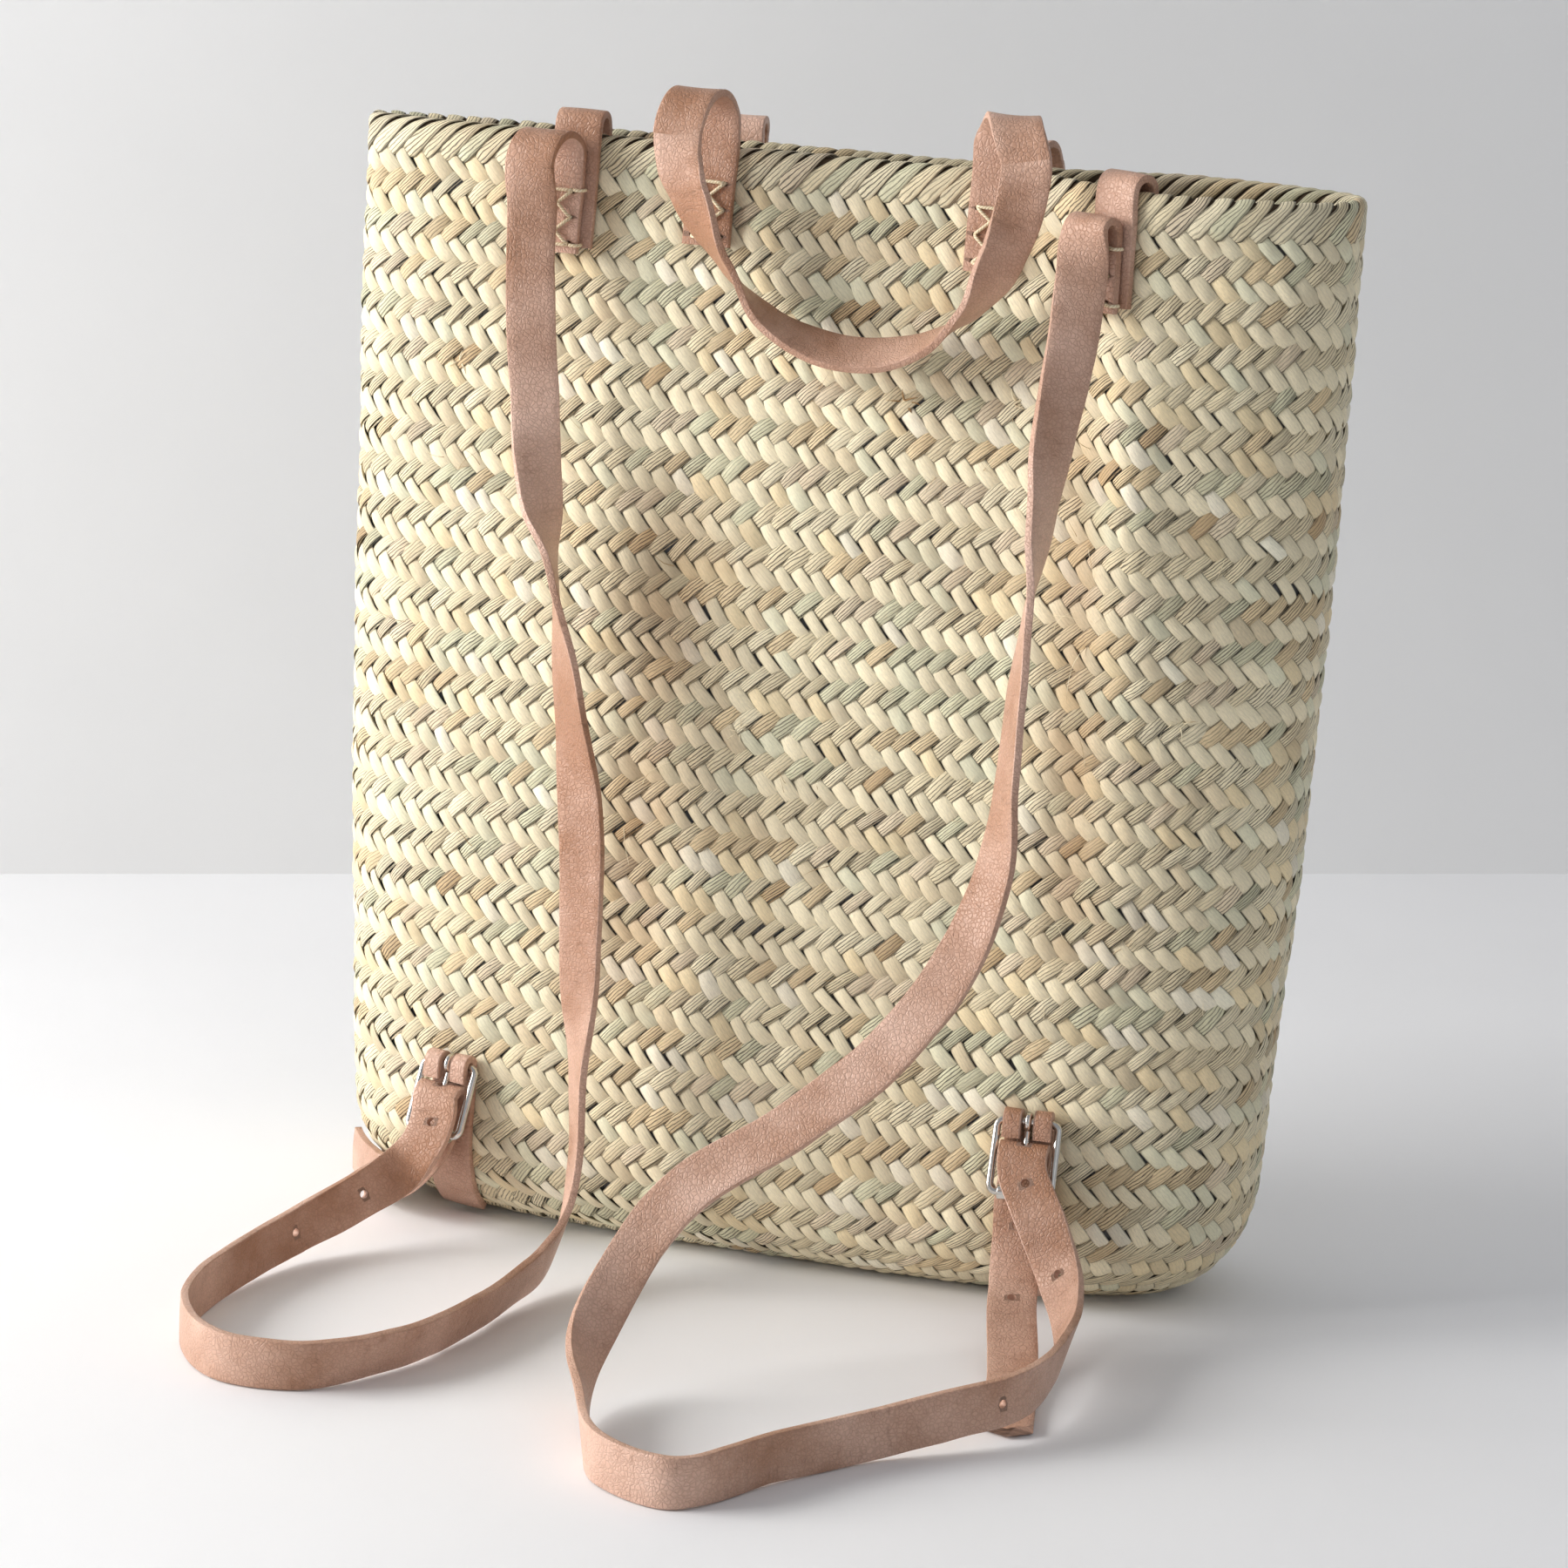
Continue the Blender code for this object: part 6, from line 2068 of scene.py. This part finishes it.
@dataclass
class Studio:
    """The pale floor and backdrop, the soft lamps and the camera. Lengths are in metres."""

    target: tuple[float, float, float] = (-0.0144, 0.0, 0.1843)
    azimuth: float = math.radians(16.44)
    elevation: float = math.radians(14.11)
    roll: float = math.radians(3.11)
    distance: float = 1.9765
    focal_pixels: float = 5708.8
    picture: float = 1800.0
    sensor: float = 36.0
    wall_line: float = 1003.0
    key_power: float = 70.0
    key_place: tuple[float, float, float] = (-2.0, -0.95, 0.95)
    key_size: float = 1.3
    key_tint: Colour = (1.0, 0.985, 0.96)
    fill_power: float = 2.0
    fill_place: tuple[float, float, float] = (1.9, -1.6, 1.2)
    fill_size: float = 1.6
    fill_tint: Colour = (0.92, 0.96, 1.0)
    sky: Colour = shown(0.93, 0.94, 0.96)
    sky_strength: float = 0.42
    floor_half: float = 5.0
    floor_drop: float = 0.0001
    wall_half: float = 4.0
    wall_height: float = 3.0
    wall_sunk: float = 0.01

    def axes(self) -> tuple[Vector, Vector, Vector, Vector]:
        """The camera's place and the directions to its right, up and back."""
        flat, high = math.cos(self.elevation), math.sin(self.elevation)
        back = Vector((math.sin(self.azimuth) * flat, -math.cos(self.azimuth) * flat, high))
        right = (-back).cross(Vector((0, 0, 1))).normalized()
        up = right.cross(-back)
        cos, sin = math.cos(self.roll), math.sin(self.roll)
        place = Vector(self.target) + back * self.distance
        return place, right * cos + up * sin, up * cos - right * sin, back

    def camera(self) -> None:
        """Sets the camera at the photograph's angle."""
        place, right, up, back = self.axes()
        data = bpy.data.cameras.new("camera")
        data.sensor_fit = "HORIZONTAL"
        data.sensor_width = self.sensor
        data.lens = self.focal_pixels * self.sensor / self.picture
        data.clip_end = 50.0
        camera = bpy.data.objects.new("camera", data)
        turn = Matrix((right, up, back)).transposed().to_4x4()
        camera.matrix_world = Matrix.Translation(place) @ turn
        bpy.context.scene.collection.objects.link(camera)
        bpy.context.scene.camera = camera

    def floor_point(self, across: float, down: float) -> Vector:
        """Where a place in the picture lies on the floor."""
        place, right, up, back = self.axes()
        half = self.picture / 2
        ray = right * (across - half) - up * (down - half) - back * self.focal_pixels
        return place + ray * (-place.z / ray.z)

    def room(self, floor: bpy.types.Material, wall: bpy.types.Material) -> None:
        """Lays the floor and stands the backdrop on the line where they meet in the picture."""
        bm = bmesh.new()
        bmesh.ops.create_grid(bm, x_segments=4, y_segments=4, size=self.floor_half)
        bmesh.ops.translate(bm, vec=(0, 0, -self.floor_drop), verts=bm.verts)
        ground = new_piece("floor", bm)
        ground.data.materials.append(floor)
        left, right = self.floor_point(0, self.wall_line), self.floor_point(self.picture, self.wall_line)
        along = (right - left).normalized()
        middle = (left + right) / 2
        bm = bmesh.new()
        bmesh.ops.create_grid(bm, x_segments=4, y_segments=2, size=1)
        for vert in bm.verts:
            rise = self.wall_height * (vert.co.y + 1) / 2
            vert.co = middle + along * (vert.co.x * self.wall_half) + Vector((0, 0, rise - self.wall_sunk))
        backdrop = new_piece("backdrop", bm)
        backdrop.data.materials.append(wall)

    def lamp(
        self, name: str, place: tuple[float, float, float], size: float, power: float, tint: Colour
    ) -> None:
        """One square soft lamp that faces the basket."""
        data = bpy.data.lights.new(name, "AREA")
        data.size = size
        data.energy = power
        data.color = tint
        lamp = bpy.data.objects.new(name, data)
        aim = Vector(self.target) - Vector(place)
        lamp.matrix_world = Matrix.Translation(place) @ aim.to_track_quat("-Z", "Y").to_matrix().to_4x4()
        bpy.context.scene.collection.objects.link(lamp)

    def light(self) -> None:
        """The window light from the left, a weak fill from the right, and the pale sky round them."""
        self.lamp("window", self.key_place, self.key_size, self.key_power, self.key_tint)
        self.lamp("fill", self.fill_place, self.fill_size, self.fill_power, self.fill_tint)
        world = bpy.data.worlds.new("sky")
        world.use_nodes = True
        background = world.node_tree.nodes["Background"]
        background.inputs["Color"].default_value = (*self.sky, 1.0)
        background.inputs["Strength"].default_value = self.sky_strength
        bpy.context.scene.world = world
        bpy.context.scene.view_settings.view_transform = "Standard"

    def build(self) -> None:
        """Sets up the whole studio."""
        self.camera()
        floor = PaintFinish("floor_paint", shown(0.975, 0.975, 0.98)).material()
        wall = PaintFinish("backdrop_paint", shown(0.97, 0.97, 0.97)).material()
        one_sided(wall)
        self.room(floor, wall)
        self.light()


def one_sided(material: bpy.types.Material) -> None:
    """Leaves a backdrop clear from behind, so that the basket's back can be looked at past it."""
    tree = material.node_tree
    shader = tree.nodes["Principled BSDF"]
    side = tree.nodes.new("ShaderNodeNewGeometry")
    clear = tree.nodes.new("ShaderNodeBsdfTransparent")
    choice = tree.nodes.new("ShaderNodeMixShader")
    tree.links.new(side.outputs["Backfacing"], choice.inputs[0])
    tree.links.new(shader.outputs[0], choice.inputs[1])
    tree.links.new(clear.outputs[0], choice.inputs[2])
    tree.links.new(choice.outputs[0], tree.nodes["Material Output"].inputs["Surface"])


LEFT_HANG: Shares = (
    (-0.024, 0.148, 0.9171, (0.97, 0.24, 0.0)),
    (-0.0121, 0.18, 0.8711, (0.97, 0.24, 0.0)),
    (0.0118, 0.204, 0.7571, (0.94, 0.34, 0.0)),
    (0.0356, 0.228, 0.6741, (0.66, 0.75, 0.0)),
    (0.0683, 0.252, 0.6081, (-0.27, 0.96, 0.0)),
    (0.12, 0.296, 0.5001, (-0.75, 0.66, 0.0)),
    (0.1638, 0.336, 0.3881, (-0.98, 0.21, 0.0)),
    (0.1797, 0.36, 0.2731, (-0.93, 0.36, 0.0)),
    (0.1877, 0.368, 0.1541, (-0.52, 0.86, 0.0)),
    (0.194, 0.382, 0.0851, (-0.46, 0.88, -0.1)),
    (0.1877, 0.406, 0.0351, (-0.35, 0.75, -0.55)),
)
LEFT_GROUND: Shares = (
    (0.2535, 0.2445, 0.0159, (-0.22, 0.25, -0.94)),
    (0.2408, 0.3274, 0.0037, (-0.33, 0.12, -0.94)),
    (0.223, 0.4718, 0.0, (-0.36, 0.11, -0.93)),
    (0.1664, 0.6566, 0.0, (-0.3, 0.22, -0.93)),
    (0.0649, 0.7755, 0.0, (-0.07, 0.12, -0.99)),
    (-0.0477, 0.784, 0.0, (0.0, 0.0, -1.0)),
    (-0.1606, 0.6682, 0.0, (0.0, 0.0, -1.0)),
    (-0.1873, 0.5547, 0.0, (0.0, 0.0, -1.0)),
    (-0.1811, 0.4096, 0.0019, (0.0, 0.0, -1.0)),
    (-0.1446, 0.2551, 0.015, (0.05, 0.0, -1.0)),
    (-0.0808, 0.1515, 0.05, (0.2, 0.0, -0.98)),
)
RIGHT_HANG: Shares = (
    (-0.0284, 0.204, 0.9171, (0.96, 0.28, 0.0)),
    (-0.0308, 0.228, 0.8491, (0.9, 0.43, 0.0)),
    (-0.0407, 0.264, 0.7731, (0.64, 0.77, 0.0)),
    (-0.0436, 0.296, 0.7021, (0.24, 0.97, 0.0)),
    (-0.0436, 0.336, 0.6281, (-0.27, 0.96, 0.0)),
    (-0.0436, 0.376, 0.5571, (-0.47, 0.88, 0.0)),
    (-0.0396, 0.416, 0.4861, (-0.53, 0.85, 0.05)),
    (-0.04, 0.464, 0.4111, (-0.72, 0.6, 0.25)),
    (-0.0842, 0.52, 0.3281, (-0.72, 0.3, 0.5)),
    (-0.1638, 0.58, 0.2591, (-0.66, 0.35, 0.6)),
    (-0.284, 0.64, 0.1961, (-0.62, 0.42, 0.62)),
    (-0.4263, 0.712, 0.1351, (-0.58, 0.38, 0.68)),
    (-0.4879, 0.792, 0.0691, (-0.55, 0.2, 0.78)),
    (-0.5038, 0.88, 0.0211, (-0.45, 0.0, 0.89)),
)
RIGHT_GROUND: Shares = (
    (-0.4432, 0.7669, 0.0028, (-0.2, 0.0, 0.98)),
    (-0.3626, 0.9151, 0.0, (0.0, 0.0, 1.0)),
    (-0.2596, 0.9554, 0.0, (0.0, 0.0, 1.0)),
    (-0.1382, 0.7926, 0.0, (0.0, 0.0, 1.0)),
    (-0.0424, 0.6683, 0.0019, (0.0, 0.0, 1.0)),
    (0.0539, 0.5801, 0.0176, (0.0, 0.0, 1.0)),
    (0.1236, 0.5046, 0.0272, (0.05, 0.0, 1.0)),
    (0.1488, 0.3389, 0.0342, (0.2, 0.0, 0.96)),
    (0.1245, 0.1867, 0.0473, (0.4, 0.1, 0.9)),
    (0.0841, 0.1067, 0.0926, (0.72, 0.05, 0.69)),
)
LEFT_TAIL: Shares = (
    (-0.0578, 0.0287, 0.056, (0.79, 0.0, -0.61)),
    (-0.1001, -0.0113, 0.0241, (0.45, -0.20, -0.87)),
    (-0.1438, -0.0613, 0.0100, (0.0, 0.0, -1.0)),
    (-0.1948, -0.1293, 0.0037, (0.0, 0.0, -1.0)),
    (-0.2234, -0.1733, 0.0072, (0.0, 0.0, -1.0)),
)
RIGHT_TAIL: Shares = (
    (0.001, 0.0352, 0.131, (0.99, 0.10, 0.0)),
    (0.0097, 0.0702, 0.0752, (0.99, 0.10, 0.0)),
    (0.0304, 0.1602, 0.0316, (0.98, 0.17, 0.0)),
    (0.0559, 0.2402, -0.0085, (0.98, 0.20, 0.0)),
    (0.0838, 0.3522, -0.0277, (0.98, 0.22, 0.0)),
    (0.1156, 0.5002, -0.0295, (0.98, 0.22, 0.0)),
)
LEFT_HOOK: Shares = ((0.14, 1.10, 0.72, (0.96, 0.0, -0.28)), (0.12, 1.25, 1.08, (0.80, 0.0, -0.60)))
RIGHT_HOOK: Shares = ((0.08, 1.08, 0.72, (1.0, 0.0, 0.05)), (0.40, 1.25, 1.00, (0.98, 0.0, 0.16)))


def leather_finishes() -> list[bpy.types.Material]:
    """The grain, flesh and edge finishes, in the order of a strap's faces."""
    return [
        LeatherFinish(Zone.GRAIN, shown(0.895, 0.75, 0.675), shown(0.67, 0.49, 0.38), 0.42, 1.0).material(),
        LeatherFinish(Zone.FLESH, shown(0.885, 0.73, 0.65), shown(0.66, 0.475, 0.365), 0.88, 1.0).material(),
        LeatherFinish(Zone.EDGE, shown(0.66, 0.46, 0.36), shown(0.50, 0.33, 0.25), 0.78, 0.8).material(),
    ]


def shoulder_straps() -> tuple[ShoulderStrap, ...]:
    """The two shoulder straps, each with its buckle."""
    half = BasketForm().base_half_width
    return (
        ShoulderStrap(
            "left", -0.111, 0.007, 0.008, -0.007, RollerBuckle("left", -0.6995 * half, 0.068),
            LEFT_HANG, LEFT_GROUND, LEFT_HOOK,
            (-0.27, 1.40, 1.51, (0.55, 0.0, -0.83)), (-0.20, -1.12, 1.07), LEFT_TAIL,
            LeatherStrap(seed=5, tip=0.001), (0.934, 0.974, 1.022),
        ),
        ShoulderStrap(
            "right", 0.112, 0.0145, 0.0045, 0.0, RollerBuckle("right", 0.5956 * half, 0.080),
            RIGHT_HANG, RIGHT_GROUND, RIGHT_HOOK,
            (0.72, 1.42, 1.25, (0.93, 0.0, 0.34)), (-0.06, -1.12, 1.05), RIGHT_TAIL,
            LeatherStrap(seed=8), (0.853, 0.972, 1.013),
        ),
    )


def main() -> None:
    """Builds every sub-assembly in order."""
    Studio().build()
    leaf = [LeafFinish("palm_leaf").material(), ShadowedLeafFinish().material()]
    leather = leather_finishes()
    thread = ThreadFinish().material()
    nickel = NickelFinish().material()
    WovenBody().build(leaf)
    WrappedRim().build(leaf)
    LooseFibres().build(StrawFinish().material())
    CarryHandle(
        "near_handle", Side.NEAR, (-0.051, 0.061), 0.010, 0.068, 0.0925, 0.0125, 0.0095, 0.0
    ).build(leather, thread)
    CarryHandle(
        "far_handle", Side.FAR, (-0.051, 0.061), 0.0065, 0.0595, 0.099, 0.006, 0.0015, 0.022
    ).build(leather, thread)
    RimStrap("left_rim_strap", -0.111, 0.004, 0.0026).build(leather)
    RimStrap("right_rim_strap", 0.112, 0.003, 0.0).build(leather)
    for strap in shoulder_straps():
        strap.buckle.build(nickel, leather)
        strap.build(leather, thread)


if __name__ == "__main__":
    logging.basicConfig(level=logging.INFO, format="%(name)s: %(message)s")
    main()
